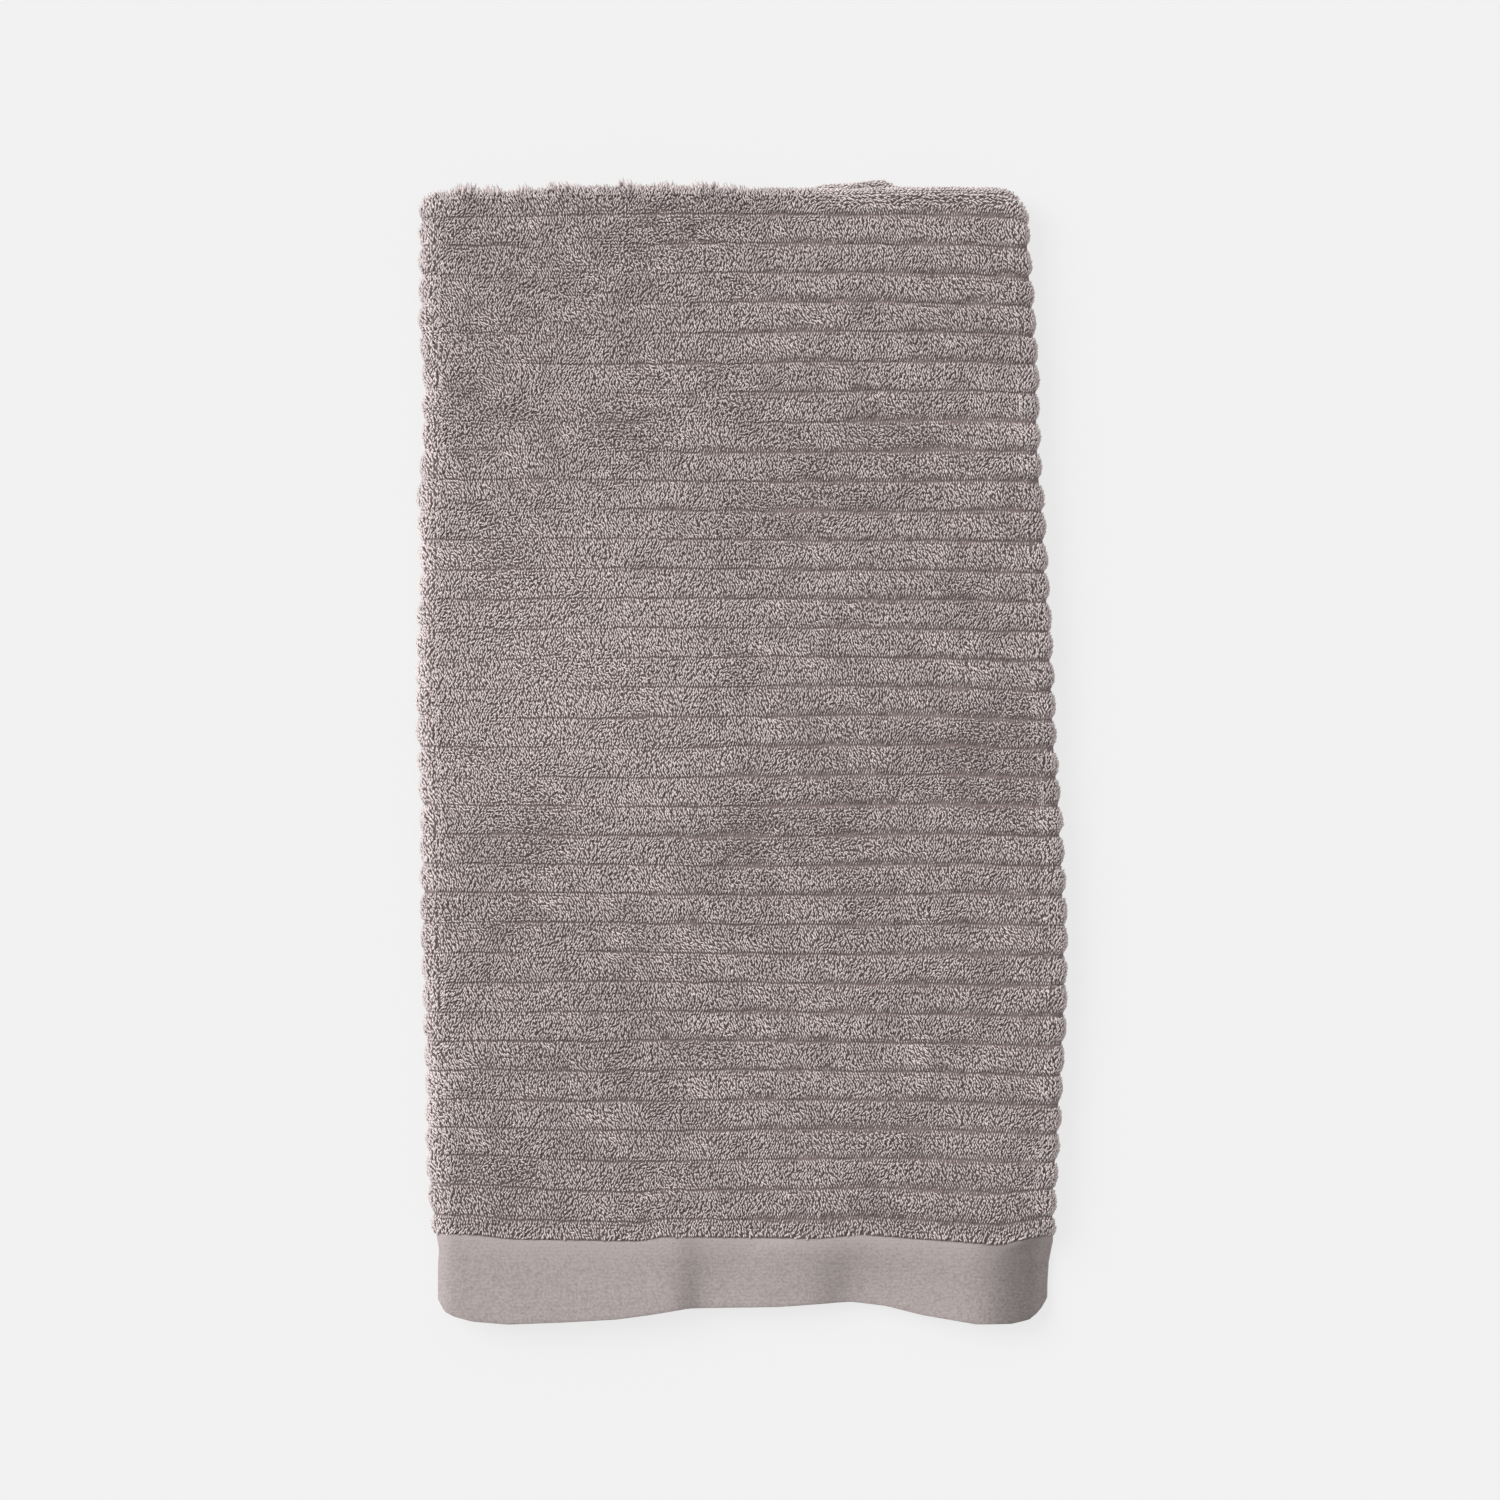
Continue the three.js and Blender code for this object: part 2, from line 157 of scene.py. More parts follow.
TOUSLED = rows(
    "x y width height",
    (-130, -42, 26, 34), (-42, 322, 30, 20), (6, -58, 24, 26), (56, -46, 22, 24),
    (142, 4, 24, 22), (-70, 200, 26, 16), (96, 190, 22, 18), (-150, 120, 20, 24),
)


@dataclass(frozen=True)
class Stack:
    """How the layers lie at places along Y. Every field is an array, in millimetres.

    Attributes:
        spacing: Half the distance between the middles of the two layers of the pair.
        roll: Half height of both side rolls, to the middle of the pair.
        left_roll: Half width of the left roll.
        right_roll: Half width of the right roll.
        left: Where the face begins along X.
        right: Where the face ends along X.
        left_flap: Free edge of the left flap.
        right_flap: Free edge of the right flap.
        height: Height of the rolls' middles above the surface.
        drape: Share from the pile's stack to the thinner hem's.
        crease: Power that sharpens the right roll's outline.
        droop: Power that makes the right roll fall earlier.
        right_sink: Drop of the face where the right roll begins.
        runs: Distance across the cloth at the start of each of its five runs, and at the end.
    """

    spacing: Array
    roll: Array
    left_roll: Array
    right_roll: Array
    left: Array
    right: Array
    left_flap: Array
    right_flap: Array
    height: Array
    drape: Array
    crease: Array
    droop: Array
    right_sink: Array
    runs: Array


@dataclass(frozen=True)
class FoldedCloth:
    """The towel's path: folded across its length, then both sides folded under. Millimetres.

    X runs across, Y towards the crosswise fold and Z up. A place on the cloth is its run round the
    folded towel, its Y, and how far it lies outside the middle of the folded pair of layers.
    """

    width: float = 700.0
    pile: float = 5.0
    band: float = 2.0
    layer_gap: float = 0.6
    side_gap: float = 1.0
    rib_pitch: float = 18.19
    rib_count: int = 34
    first_groove: float = 333.0
    fold_y: float = 350.5
    band_y: float = -299.5
    hem_y: float = -349.5
    back_hem_setback: float = 3.0
    hem_layer_gap: float = 0.7
    hem_side_gap: float = 11.0
    left_hem_roll: float = 8.0
    right_roll_from: float = -289.0
    right_roll_to: float = -306.0
    right_hem_roll: float = 32.0
    right_hem_crease: float = 1.1
    right_hem_droop: float = 2.5
    left_share: float = 0.54
    pile_sag: float = 1.4
    swell: float = 0.9
    swell_span: tuple = (52.0, 85.0)
    swell_start: tuple = (1.3, 0.4)
    wander: float = 0.9
    wander_span: tuple = (58.0, 41.0)
    rib_waver: SmoothNoise = SmoothNoise(11, 23, 31, 0.5)
    rib_quiver: SmoothNoise = SmoothNoise(12, 9, 20, 0.35)
    left_rise: float = 4.6
    left_rise_x: tuple = (-60, -170)
    left_rise_from: float = -120
    right_fall: float = 1.6
    right_fall_x: tuple = (120, 190)
    fold_edge_reach: float = 30.0
    band_edge_reach: float = 60.0
    shift_x: float = 1.4546
    shift_y: float = 2.2879

    def half_round(self, across: Array, high: Array) -> Array:
        """Length of half an ellipse from its half axes: pi/2 of their sum, a little more when flat."""
        flatness = ((across - high) / (across + high)) ** 2
        return (pi / 2) * (across + high) * (1 + flatness / 4)

    def stack(self, y: Array) -> Stack:
        """Layer spacing, side rolls, heights and flap edges at places along Y.

        Args:
            y: Places along Y before the uneven edges are added.

        Returns:
            The stack's sizes, eased from the pile's to the hem's over the band.
        """
        y = np.asarray(y, float)
        drape = ease(self.band_y, self.hem_y, y)
        right_drape = ease(self.right_roll_from, self.right_roll_to, y)
        thinning = ease(self.band_y, (self.band_y + self.hem_y) / 2, y)
        reach = mix(self.pile / 2, self.band / 2, thinning)
        pile_spacing = (self.pile + self.layer_gap) / 2
        hem_spacing = (self.band + self.hem_layer_gap) / 2
        spacing = mix(pile_spacing, hem_spacing, drape)
        pile_roll = pile_spacing + (self.pile + self.side_gap) / 2
        hem_roll = hem_spacing + (self.band + self.hem_side_gap) / 2
        roll = mix(pile_roll, hem_roll, drape)
        left_roll = mix(pile_roll, self.left_hem_roll, drape)
        right_roll = mix(pile_roll, self.right_hem_roll, right_drape)
        left = column(SIDES, "y", "left", y) + left_roll + spacing + reach
        right = column(SIDES, "y", "right", y) - right_roll - spacing - reach
        arcs = self.half_round(left_roll, roll), self.half_round(right_roll, roll)
        flaps = self.width - (right - left) - arcs[0] - arcs[1]
        left_length, right_length = flaps * self.left_share, flaps * (1 - self.left_share)
        lengths = [left_length, arcs[0], right - left, arcs[1], right_length]
        return Stack(
            spacing=spacing, roll=roll, left_roll=left_roll, right_roll=right_roll, left=left, right=right,
            left_flap=left + left_length, right_flap=right - right_length, height=roll + spacing + reach,
            drape=drape, crease=mix(1.0, self.right_hem_crease, right_drape),
            droop=mix(1.0, self.right_hem_droop, right_drape),
            right_sink=drape * column(HEM_SINK, "x", "drop", right),
            runs=np.cumsum(np.stack([0 * y] + lengths), axis=0),
        )

    def swell_at(self, stack: Stack, x: Array, y: Array) -> Array:
        """Height added to the face: a gentle swell, less the sink where no flap lies beneath.

        Args:
            stack: The stack at these places.
            x: Places along X.
            y: Places along Y.

        Returns:
            The added height, negative where the face sinks.
        """
        across = np.sin(pi * np.clip((x - stack.left) / (stack.right - stack.left), 0, 1))
        wave_x = np.sin(x / self.swell_span[0] + self.swell_start[0])
        wave_y = np.sin(y / self.swell_span[1] + self.swell_start[1])
        share = np.clip((x - stack.left_flap) / (stack.right_flap - stack.left_flap), 0, 1)
        sag = self.pile_sag * np.sin(pi * share) ** 2
        sink = mix(sag, column(HEM_SINK, "x", "drop", x), stack.drape)
        return self.swell * across * (1 + wave_x * wave_y) / 2 - sink

    def shift_along(self, x: Array, y: Array, on_right_flap: Array) -> Array:
        """Shift along Y from the uneven fold, band line and hem, and from the wandering ribs.

        Args:
            x: Places along X.
            y: Places along Y before the shift.
            on_right_flap: Whether each place is on the right flap, which peeks out at the fold.

        Returns:
            Distance to add along Y.
        """
        at_fold = ease(self.fold_y - self.fold_edge_reach, self.fold_y, y)
        at_line = np.where(y > self.band_y, ease(self.band_y + self.band_edge_reach, self.band_y, y), 1.0)
        at_hem = np.clip((self.band_y - y) / (self.band_y - self.hem_y), 0, 1)
        fold = column(FOLD_EDGE, "x", "y", x) - self.fold_y
        line = column(BAND_LINE, "x", "y", x) - self.band_y
        hem = column(HEM_EDGE, "x", "y", x) - self.hem_y
        peek = np.where(on_right_flap, column(PEEK, "x", "length", x), 0.0)
        inner = (1 - at_fold) * (1 - at_line)
        wave = self.wander * np.sin(x / self.wander_span[0] + y / self.wander_span[1])
        wave = wave + self.rib_waver.at(x, y) + self.rib_quiver.at(x, y)
        rise = self.left_rise * ease(*self.left_rise_x, x) * ease(self.left_rise_from, self.band_y, y)
        fall = self.right_fall * ease(*self.right_fall_x, x)
        return at_fold * (fold + peek) + at_line * mix(line, hem, at_hem) + inner * (wave + rise - fall)

    def across(self, stack: Stack, s: Array, outside: Array, y: Array) -> tuple[Array, ...]:
        """Place and outward direction in the XZ plane.

        The path runs along the left flap, half round the left roll, over the face, half round the
        right roll and back along the right flap. Rolls are half ellipses whose two half axes both
        grow by the distance outside.

        Args:
            stack: The stack at these places.
            s: Distance along the path from the left flap's edge.
            outside: Distance outside the path.
            y: Place along Y.

        Returns:
            X, Z and the outward direction's X and Z parts.
        """
        runs = stack.runs
        run = [s < runs[1], s < runs[2], s < runs[3], s < runs[4]]
        turn_left = pi * (s - runs[1]) / (runs[2] - runs[1])
        turn_right = pi * (s - runs[3]) / (runs[4] - runs[3])
        face_x = stack.left + s - runs[2]
        bulge = np.clip(np.sin(turn_right), 0, 1) ** stack.crease
        x = np.select(
            run,
            [
                stack.left_flap - s,
                stack.left - (stack.left_roll + outside) * np.sin(turn_left),
                face_x,
                stack.right + (stack.right_roll + outside) * bulge,
            ],
            stack.right - (s - runs[4]),
        )
        up = stack.roll + outside
        fall = np.clip((1 + np.cos(turn_right)) / 2, 0, 1) ** stack.droop
        z = np.select(
            run,
            [
                -up,
                -up * np.cos(turn_left),
                up + self.swell_at(stack, face_x, y),
                mix(-up, up - stack.right_sink, fall),
            ],
            -up,
        )
        nx = np.select(run, [0 * s, -np.sin(turn_left), 0 * s, np.sin(turn_right)], 0 * s)
        nz = np.select(run, [0 * s - 1, -np.cos(turn_left), 0 * s + 1, np.cos(turn_right)], 0 * s - 1)
        return x, stack.height + z, nx, nz

    def point(self, s: Array, y: Array, reach: Array, turn: Array) -> tuple[Array, Array, Array]:
        """Points of one layer's surface.

        Args:
            s: Distance across the cloth from the left flap's edge.
            y: Place along Y before the edges' shifts.
            reach: Distance from the layer's middle, outwards positive.
            turn: Turn about the crosswise fold: 0 on the front layer, pi on the back one.

        Returns:
            Points, outward directions and directions across the cloth, each with a last axis of 3.
        """
        s, y, reach, turn = np.broadcast_arrays(s, y, reach, turn)
        stack = self.stack(y)
        radius = stack.spacing + reach
        x, z, nx, nz = self.across(stack, s, radius * np.cos(turn), y)
        edge = self.across(stack, s, stack.spacing + np.abs(reach), y)[0]
        along = y + self.shift_along(edge, y, s > stack.runs[4]) + radius * np.sin(turn)
        points = np.stack([x - self.shift_x, along - self.shift_y, z], axis=-1)
        outward = np.stack([nx * np.cos(turn), np.sin(turn), nz * np.cos(turn)], axis=-1)
        return points, outward, np.stack([nz, 0 * nz, -nx], axis=-1)

    def run_to_s(self, u: Array, y: Array) -> Array:
        """Distance across the cloth for a run number and share.

        Args:
            u: Run number and share, such as 2.5 for the face's middle.
            y: Places along Y.

        Returns:
            Distance from the left flap's edge.
        """
        runs = self.stack(y).runs
        k = np.clip(np.floor(u).astype(int), 0, 4)
        start = np.take_along_axis(runs, k[None], 0)[0]
        stop = np.take_along_axis(runs, k[None] + 1, 0)[0]
        return mix(start, stop, u - k)

    def fold_start(self) -> float:
        """Place along Y where the layers begin to turn round the crosswise fold."""
        return self.fold_y - self.pile - self.layer_gap / 2

    def rib_middle(self, y: Array) -> Array:
        """Place along Y of the middle of the rib that each place is on."""
        steps = np.floor((self.first_groove - np.asarray(y, float)) / self.rib_pitch)
        return self.first_groove - (steps + 0.5) * self.rib_pitch

    def groove_distance(self, y: Array) -> Array:
        """Distance along Y to the nearest groove between ribs."""
        return self.rib_pitch / 2 - np.abs(y - self.rib_middle(y))


@dataclass(frozen=True)
class MeshData:
    """Whole-array mesh: points in millimetres, quads, triangles and named point attributes."""

    points: Array
    quads: Array
    tris: Array
    values: dict = field(default_factory=dict)
    quad_slots: Array | None = None

    def make(self, name: str, materials: list) -> bpy.types.Object:
        """Makes the object, in metres, smooth shaded and linked to the scene.

        Args:
            name: The piece's name.
            materials: Its materials in slot order.

        Returns:
            The new object, riding on the root body.
        """
        mesh = bpy.data.meshes.new(name)
        mesh.vertices.add(len(self.points))
        mesh.vertices.foreach_set("co", (self.points * MM).astype(np.float32).ravel())
        corners = np.concatenate([self.quads.ravel(), self.tris.ravel()]).astype(np.int32)
        mesh.loops.add(len(corners))
        mesh.loops.foreach_set("vertex_index", corners)
        sizes = np.concatenate([np.full(len(self.quads), 4), np.full(len(self.tris), 3)]).astype(np.int32)
        mesh.polygons.add(len(sizes))
        mesh.polygons.foreach_set("loop_start", (np.cumsum(sizes) - sizes).astype(np.int32))
        mesh.polygons.foreach_set("loop_total", sizes)
        if self.quad_slots is not None:
            slots = np.concatenate([self.quad_slots, np.zeros(len(self.tris))]).astype(np.int32)
            mesh.polygons.foreach_set("material_index", slots)
        mesh.update(calc_edges=True)
        mesh.validate()
        mesh.shade_smooth()
        for key, numbers in self.values.items():
            layer = mesh.attributes.new(key, "FLOAT", "POINT")
            layer.data.foreach_set("value", np.asarray(numbers, np.float32).ravel())
        for material in materials:
            mesh.materials.append(material)
        piece = bpy.data.objects.new(name, mesh)
        bpy.context.scene.collection.objects.link(piece)
        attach(piece, "root")
        return piece


class Socket:
    """A shader socket that takes part in Python expressions: each operator adds a Math node."""

    def __init__(self, paint: "Paint", link: object) -> None:
        """Wraps a node's output socket for its paint."""
        self.paint = paint
        self.link = link

    def _with(self, operation: str, first: object, second: object) -> "Socket":
        """Math node on two values or sockets."""
        return self.paint.node("ShaderNodeMath", {"operation": operation}, {0: first, 1: second})

    def __add__(self, other: object) -> "Socket":
        """Sum."""
        return self._with("ADD", self, other)

    def __radd__(self, other: object) -> "Socket":
        """Sum, reflected."""
        return self._with("ADD", other, self)

    def __sub__(self, other: object) -> "Socket":
        """Difference."""
        return self._with("SUBTRACT", self, other)

    def __rsub__(self, other: object) -> "Socket":
        """Difference, reflected."""
        return self._with("SUBTRACT", other, self)

    def __mul__(self, other: object) -> "Socket":
        """Product."""
        return self._with("MULTIPLY", self, other)

    def __rmul__(self, other: object) -> "Socket":
        """Product, reflected."""
        return self._with("MULTIPLY", other, self)


class Paint:
    """One material's node tree, with one method that adds any node."""

    def __init__(self, name: str) -> None:
        """Starts a material with an empty node tree.

        Args:
            name: The material's name.
        """
        self.material = bpy.data.materials.new(name)
        self.material.use_nodes = True
        self.tree = self.material.node_tree
        self.tree.nodes.clear()

    def node(
        self, kind: str, settings: dict | None = None, inputs: dict | None = None, out: object = 0
    ) -> Socket:
        """Adds a node.

        Args:
            kind: The node's type.
            settings: Properties that are set before the inputs.
            inputs: Values or sockets by input name or number.
            out: Name or number of the output to wrap, or None for a node with no output.

        Returns:
            The wrapped output.
        """
        made = self.tree.nodes.new(kind)
        for key, value in (settings or {}).items():
            setattr(made, key, value)
        for key, value in (inputs or {}).items():
            if isinstance(value, Socket):
                self.tree.links.new(value.link, made.inputs[key])
            else:
                made.inputs[key].default_value = value
        return Socket(self, None if out is None else made.outputs[out])

    def attribute(self, name: str) -> Socket:
        """Number that a mesh keeps at its points under a name."""
        return self.node("ShaderNodeAttribute", {"attribute_name": name}, out="Fac")

    def place(self) -> Socket:
        """Object coordinates."""
        return self.node("ShaderNodeTexCoord", out="Object")

    def noise(self, scale: float, detail: float, stretch: tuple = (1.0, 1.0, 1.0)) -> Socket:
        """Noise on stretched object coordinates, at a scale in cycles a metre."""
        spot = self.node("ShaderNodeVectorMath", {"operation": "MULTIPLY"}, {0: self.place(), 1: stretch})
        return self.node("ShaderNodeTexNoise", {}, {"Vector": spot, "Scale": scale, "Detail": detail})

    def relief(self, height: Socket, depth: float, strength: float) -> Socket:
        """Normal from a height, at a depth in metres."""
        return self.node("ShaderNodeBump", {}, {"Height": height, "Distance": depth, "Strength": strength})

    def sine(self, angle: Socket) -> Socket:
        """Sine of an angle in radians."""
        return self.node("ShaderNodeMath", {"operation": "SINE"}, {0: angle})

    def size_of(self, value: Socket) -> Socket:
        """Value without its sign."""
        return self.node("ShaderNodeMath", {"operation": "ABSOLUTE"}, {0: value})

    def clamp(self, value: Socket) -> Socket:
        """Value held between 0 and 1."""
        return self.node("ShaderNodeClamp", {}, {"Value": value})

    def blend(self, share: object, first: object, second: object) -> Socket:
        """Colour mix by a share, on the Mix node's colour inputs 6 and 7 and its colour output 2."""
        settings = {"data_type": "RGBA", "clamp_factor": True}
        return self.node("ShaderNodeMix", settings, {0: share, 6: first, 7: second}, out=2)

    def tint(self, color: Socket, by: tuple) -> Socket:
        """Colour times another colour."""
        return self.node("ShaderNodeVectorMath", {"operation": "MULTIPLY"}, {0: color, 1: by})

    def finish(self, inputs: dict) -> bpy.types.Material:
        """Ends the material in one Principled shader.

        Args:
            inputs: The shader's values or sockets by input name.

        Returns:
            The finished material.
        """
        shader = self.node("ShaderNodeBsdfPrincipled", {}, inputs)
        self.node("ShaderNodeOutputMaterial", {}, {"Surface": shader}, out=None)
        return self.material


@dataclass(frozen=True)
class LoopYarn:
    """Finish of the cotton loops: warm grey, with painted light and shade from the shade attribute, and fine
    fibre relief.
    """

    shade_low: tuple = (0.26, 0.211, 0.205, 1.0)
    shade_high: tuple = (0.92, 0.823, 0.813, 1.0)
    roughness: float = 0.95
    sheen: float = 0.25
    sheen_roughness: float = 0.5
    gloss: float = 0.15
    fibre_scale: float = 2600.0
    fibre_detail: float = 2.0
    fibre_tone: float = 0.22
    fibre_depth: float = 0.0002
    fibre_strength: float = 0.6

    def dress(self) -> bpy.types.Material:
        """Makes the material from the loops' shade attribute, which holds their tone with painted light and
        shade, and fine noise.

        Returns:
            The material.
        """
        paint = Paint("cotton_loops")
        fibre = paint.noise(self.fibre_scale, self.fibre_detail)
        share = paint.attribute("shade") + (fibre - 0.5) * self.fibre_tone
        color = paint.blend(share, self.shade_low, self.shade_high)
        return paint.finish({
            "Base Color": color, "Roughness": self.roughness,
            "Normal": paint.relief(fibre, self.fibre_depth, self.fibre_strength),
            "Sheen Weight": self.sheen, "Sheen Roughness": self.sheen_roughness,
            "Specular IOR Level": self.gloss,
        })


@dataclass(frozen=True)
class GroundWeave:
    """Finish of the woven ground between the loops, kept much darker than the yarn as painted shade in the
    gaps.
    """

    # Darker than the yarn: painted shade between the loops.
    color: tuple = (0.19, 0.150, 0.146, 1.0)
    light: tuple = (0.27, 0.217, 0.210, 1.0)
    roughness: float = 0.95
    gloss: float = 0.1
    mottle_scale: float = 700.0
    mottle_detail: float = 3.0
    mottle_depth: float = 0.0004
    mottle_strength: float = 0.7

    def dress(self) -> bpy.types.Material:
        """Makes the material: soft mottled noise with a fine relief.

        Returns:
            The material.
        """
        paint = Paint("woven_ground")
        mottle = paint.noise(self.mottle_scale, self.mottle_detail)
        return paint.finish({
            "Base Color": paint.blend(mottle, self.color, self.light), "Roughness": self.roughness,
            "Normal": paint.relief(mottle, self.mottle_depth, self.mottle_strength),
            "Specular IOR Level": self.gloss,
        })


@dataclass(frozen=True)
class BandWeave:
    """Finish of the flat-woven band: smooth matte cloth with fine crosswise yarns, painted shade in its
    hollows and painted light towards the pile.

    Sizes are in metres, apart from line_y, upper_reach and the stitches' three, which are in the
    cloth's millimetres. Values named _relief are shares of the height and those named _tone of the
    colour's share.
    """

    line_y: float
    color: tuple = (0.470, 0.410, 0.400, 1.0)
    dark: tuple = (0.340, 0.296, 0.288, 1.0)
    hollow: tuple = (0.60, 0.60, 0.605)
    roughness: float = 0.85
    sheen: float = 0.15
    gloss: float = 0.2
    yarn_pitch: float = 0.00085
    warp_pitch: float = 0.0011
    wobble: float = 0.0012
    wobble_scale: float = 60.0
    streak_stretch: tuple = (60.0, 500.0, 60.0)
    grain_scale: float = 620.0
    fuzz_scale: float = 1500.0
    yarn_relief: float = 0.35
    warp_relief: float = 0.25
    grain_relief: float = 1.4
    fuzz_relief: float = 0.8
    depth: float = 0.00025
    strength: float = 0.6
    upper_reach: float = 22.0
    stitch_drop: float = 1.8
    stitch_half: float = 0.6
    stitch_pitch: float = 1.3
    streak_tone: float = 0.25
    grain_tone: float = 2.8
    fuzz_tone: float = 1.4
    base_drop: float = 1.65
    painted_upper_tone: float = 0.45
    stitch_tone: float = 0.35

    def dress(self) -> bpy.types.Material:
        """Makes the material: yarn relief, mottling, painted light that makes the top lighter, a dotted line
        below the pile, and painted shade in the hollows.

        Returns:
            The material.
        """
        paint = Paint("band_weave")
        place = paint.place()
        along = paint.node("ShaderNodeSeparateXYZ", {}, {"Vector": place}, out="Y")
        across = paint.node("ShaderNodeSeparateXYZ", {}, {"Vector": place}, out="X")
        wobble = paint.noise(self.wobble_scale, 2.0) * self.wobble
        yarn = paint.sine((along + wobble) * (2 * pi / self.yarn_pitch))
        warp = paint.sine(across * (2 * pi / self.warp_pitch))
        streak = paint.noise(1.0, 3.0, self.streak_stretch)
        grain = paint.noise(self.grain_scale, 3.0)
        fuzz = paint.noise(self.fuzz_scale, 2.0)
        height = yarn * self.yarn_relief + yarn * warp * self.warp_relief
        height = height + grain * self.grain_relief + fuzz * self.fuzz_relief
        below = self.line_y - paint.attribute("cloth_y")
        upper = paint.clamp(1.0 - below * (1 / self.upper_reach))
        near = paint.clamp(1.0 - paint.size_of(below - self.stitch_drop) * (1 / self.stitch_half))
        dots = near * (paint.sine(paint.attribute("cloth_x") * (2 * pi / self.stitch_pitch)) * 0.5 + 0.5)
        share = streak * self.streak_tone + grain * self.grain_tone + fuzz * self.fuzz_tone - self.base_drop
        # Painted light: the band is lighter towards the pile.
        share = share + upper * upper * self.painted_upper_tone - dots * self.stitch_tone
        cloth = paint.blend(share, self.dark, self.color)
        # Painted shade in the band's hollows, from the fold_shade attribute.
        color = paint.blend(paint.attribute("fold_shade"), cloth, paint.tint(cloth, self.hollow))
        return paint.finish({
            "Base Color": color, "Roughness": self.roughness,
            "Normal": paint.relief(height, self.depth, self.strength),
            "Sheen Weight": self.sheen, "Specular IOR Level": self.gloss,
        })


@dataclass
class WovenCloth:
    """The cloth itself: woven ground under the loops, flat band, both folds and free edges."""

    cloth: FoldedCloth
    ground: float = 0.4
    face_steps: int = 100
    flap_steps: int = 20
    roll_steps: int = 16
    hem_round: tuple = ((0.25, 0.7), (0.9, 1.0))
    hem_inset: float = 3.5
    band_step: float = 2.4
    line_over: float = 0.5
    band_over: float = 2.6
    pile_from: float = 0.1
    front_step: float = 6.0
    back_step: float = 10.0
    fold_clear: float = 8.0
    fold_steps: int = 9
    roll_shade_x: tuple = (132, 168)
    roll_light_x: tuple = (176, 188)
    roll_light: float = 0.75
    hollows: tuple = rows("x width shade", (-32, 9, 0.45), (58, 16, 0.2))

    def sides(self) -> Array:
        """Run numbers and shares across the cloth.

        Returns:
            The columns from the left flap's edge to the right flap's, finer round the rolls.
        """
        steps = (self.flap_steps, self.roll_steps, self.face_steps, self.roll_steps, self.flap_steps)
        runs = [run + np.linspace(0, 1, count, endpoint=run == 4) for run, count in enumerate(steps)]
        return np.concatenate(runs)

    def layer_rows(self, face: Face, side: int) -> list[tuple]:
        """Rows of one side of one layer, from the hem to the fold.

        Args:
            face: The layer.
            side: 1 for the layer's outer side and -1 for its inner one.

        Returns:
            Rows of place along Y, reach from the layer's middle, turn, and band or not.
        """
        cloth = self.cloth
        hem, half = self.hem_y(face), side * cloth.band / 2
        step = self.front_step if face is Face.FRONT else self.back_step
        edge = [(hem + inset, share * half) for inset, share in self.hem_round]
        band = [(y, half) for y in np.arange(hem + self.hem_inset, cloth.band_y, self.band_step)]
        band += [(cloth.band_y + self.line_over, half), (cloth.band_y + self.band_over, half)]
        pile_y = np.arange(band[-1][0] + self.pile_from, cloth.fold_y - self.fold_clear, step)
        made = [(y, reach, face.value, True) for y, reach in edge + band]
        return made + [(y, side * self.ground, face.value, False) for y in pile_y]

    def fold_rows(self, side: int) -> list[tuple]:
        """Rows round the crosswise fold from the front layer to the back one."""
        y, turns = self.cloth.fold_start(), np.linspace(0, pi, self.fold_steps)
        return [(y, side * self.ground, turn, False) for turn in turns]

    def hem_y(self, face: Face) -> float:
        """Place along Y of a layer's hem: the back one lies a little further in."""
        return self.cloth.hem_y + (self.cloth.back_hem_setback if face is Face.BACK else 0.0)

    def section(self) -> tuple[list[tuple], int]:
        """Rows once round the folded pair: along its outer side and back along its inner one.

        Returns:
            The rows, and how many there are on each side between the two hem tips.
        """
        outer, inner = (
            self.layer_rows(Face.FRONT, side) + self.fold_rows(side) + self.layer_rows(Face.BACK, side)[::-1]
            for side in (1, -1)
        )
        front_tip, back_tip = ((self.hem_y(face), 0.0, face.value, True) for face in Face)
        return [front_tip] + outer + [back_tip] + inner[::-1], len(outer)

    def fold_shade(self, x: Array) -> Array:
        """Share of painted shade in the band's hollows: over the right roll, easing off at its outer edge,
        and at the flaps' edges.

        Args:
            x: Places along X.

        Returns:
            0 where there is none, and 1 in full shade.
        """
        # Painted shade over the right roll, eased off again at its outer edge, and painted shade at the
        # flaps' edges.
        roll = ease(*self.roll_shade_x, x) * (1 - self.roll_light * ease(*self.roll_light_x, x))
        edge = sum(dip["shade"] * np.exp(-(((x - dip["x"]) / dip["width"]) ** 2)) for dip in self.hollows)
        return np.clip(roll + edge, 0, 1)

    def edge_faces(self, index: Array, per_side: int) -> tuple[Array, Array]:
        """Faces that close the cloth's two free long edges, at the ends of the flaps.

        Args:
            index: Point numbers, by row round the section and column across the cloth.
            per_side: Rows on each side of the section between the two hem tips.

        Returns:
            Quads from the outer side to the inner one, and a triangle at each hem tip.
        """
        step = np.arange(per_side - 1)
        tips = np.array([[0, 1, -1], [per_side, per_side + 1, per_side + 2]])
        quads, tris = [], []
        for col, order in ((0, 1), (-1, -1)):
            edge = index[:, col]
            quad = np.stack([edge[1 + step], edge[2 + step], edge[-2 - step], edge[-1 - step]], axis=-1)
            quads.append(quad[:, ::order])
            tris.append(edge[tips][:, ::order])
        return np.concatenate(quads), np.concatenate(tris)

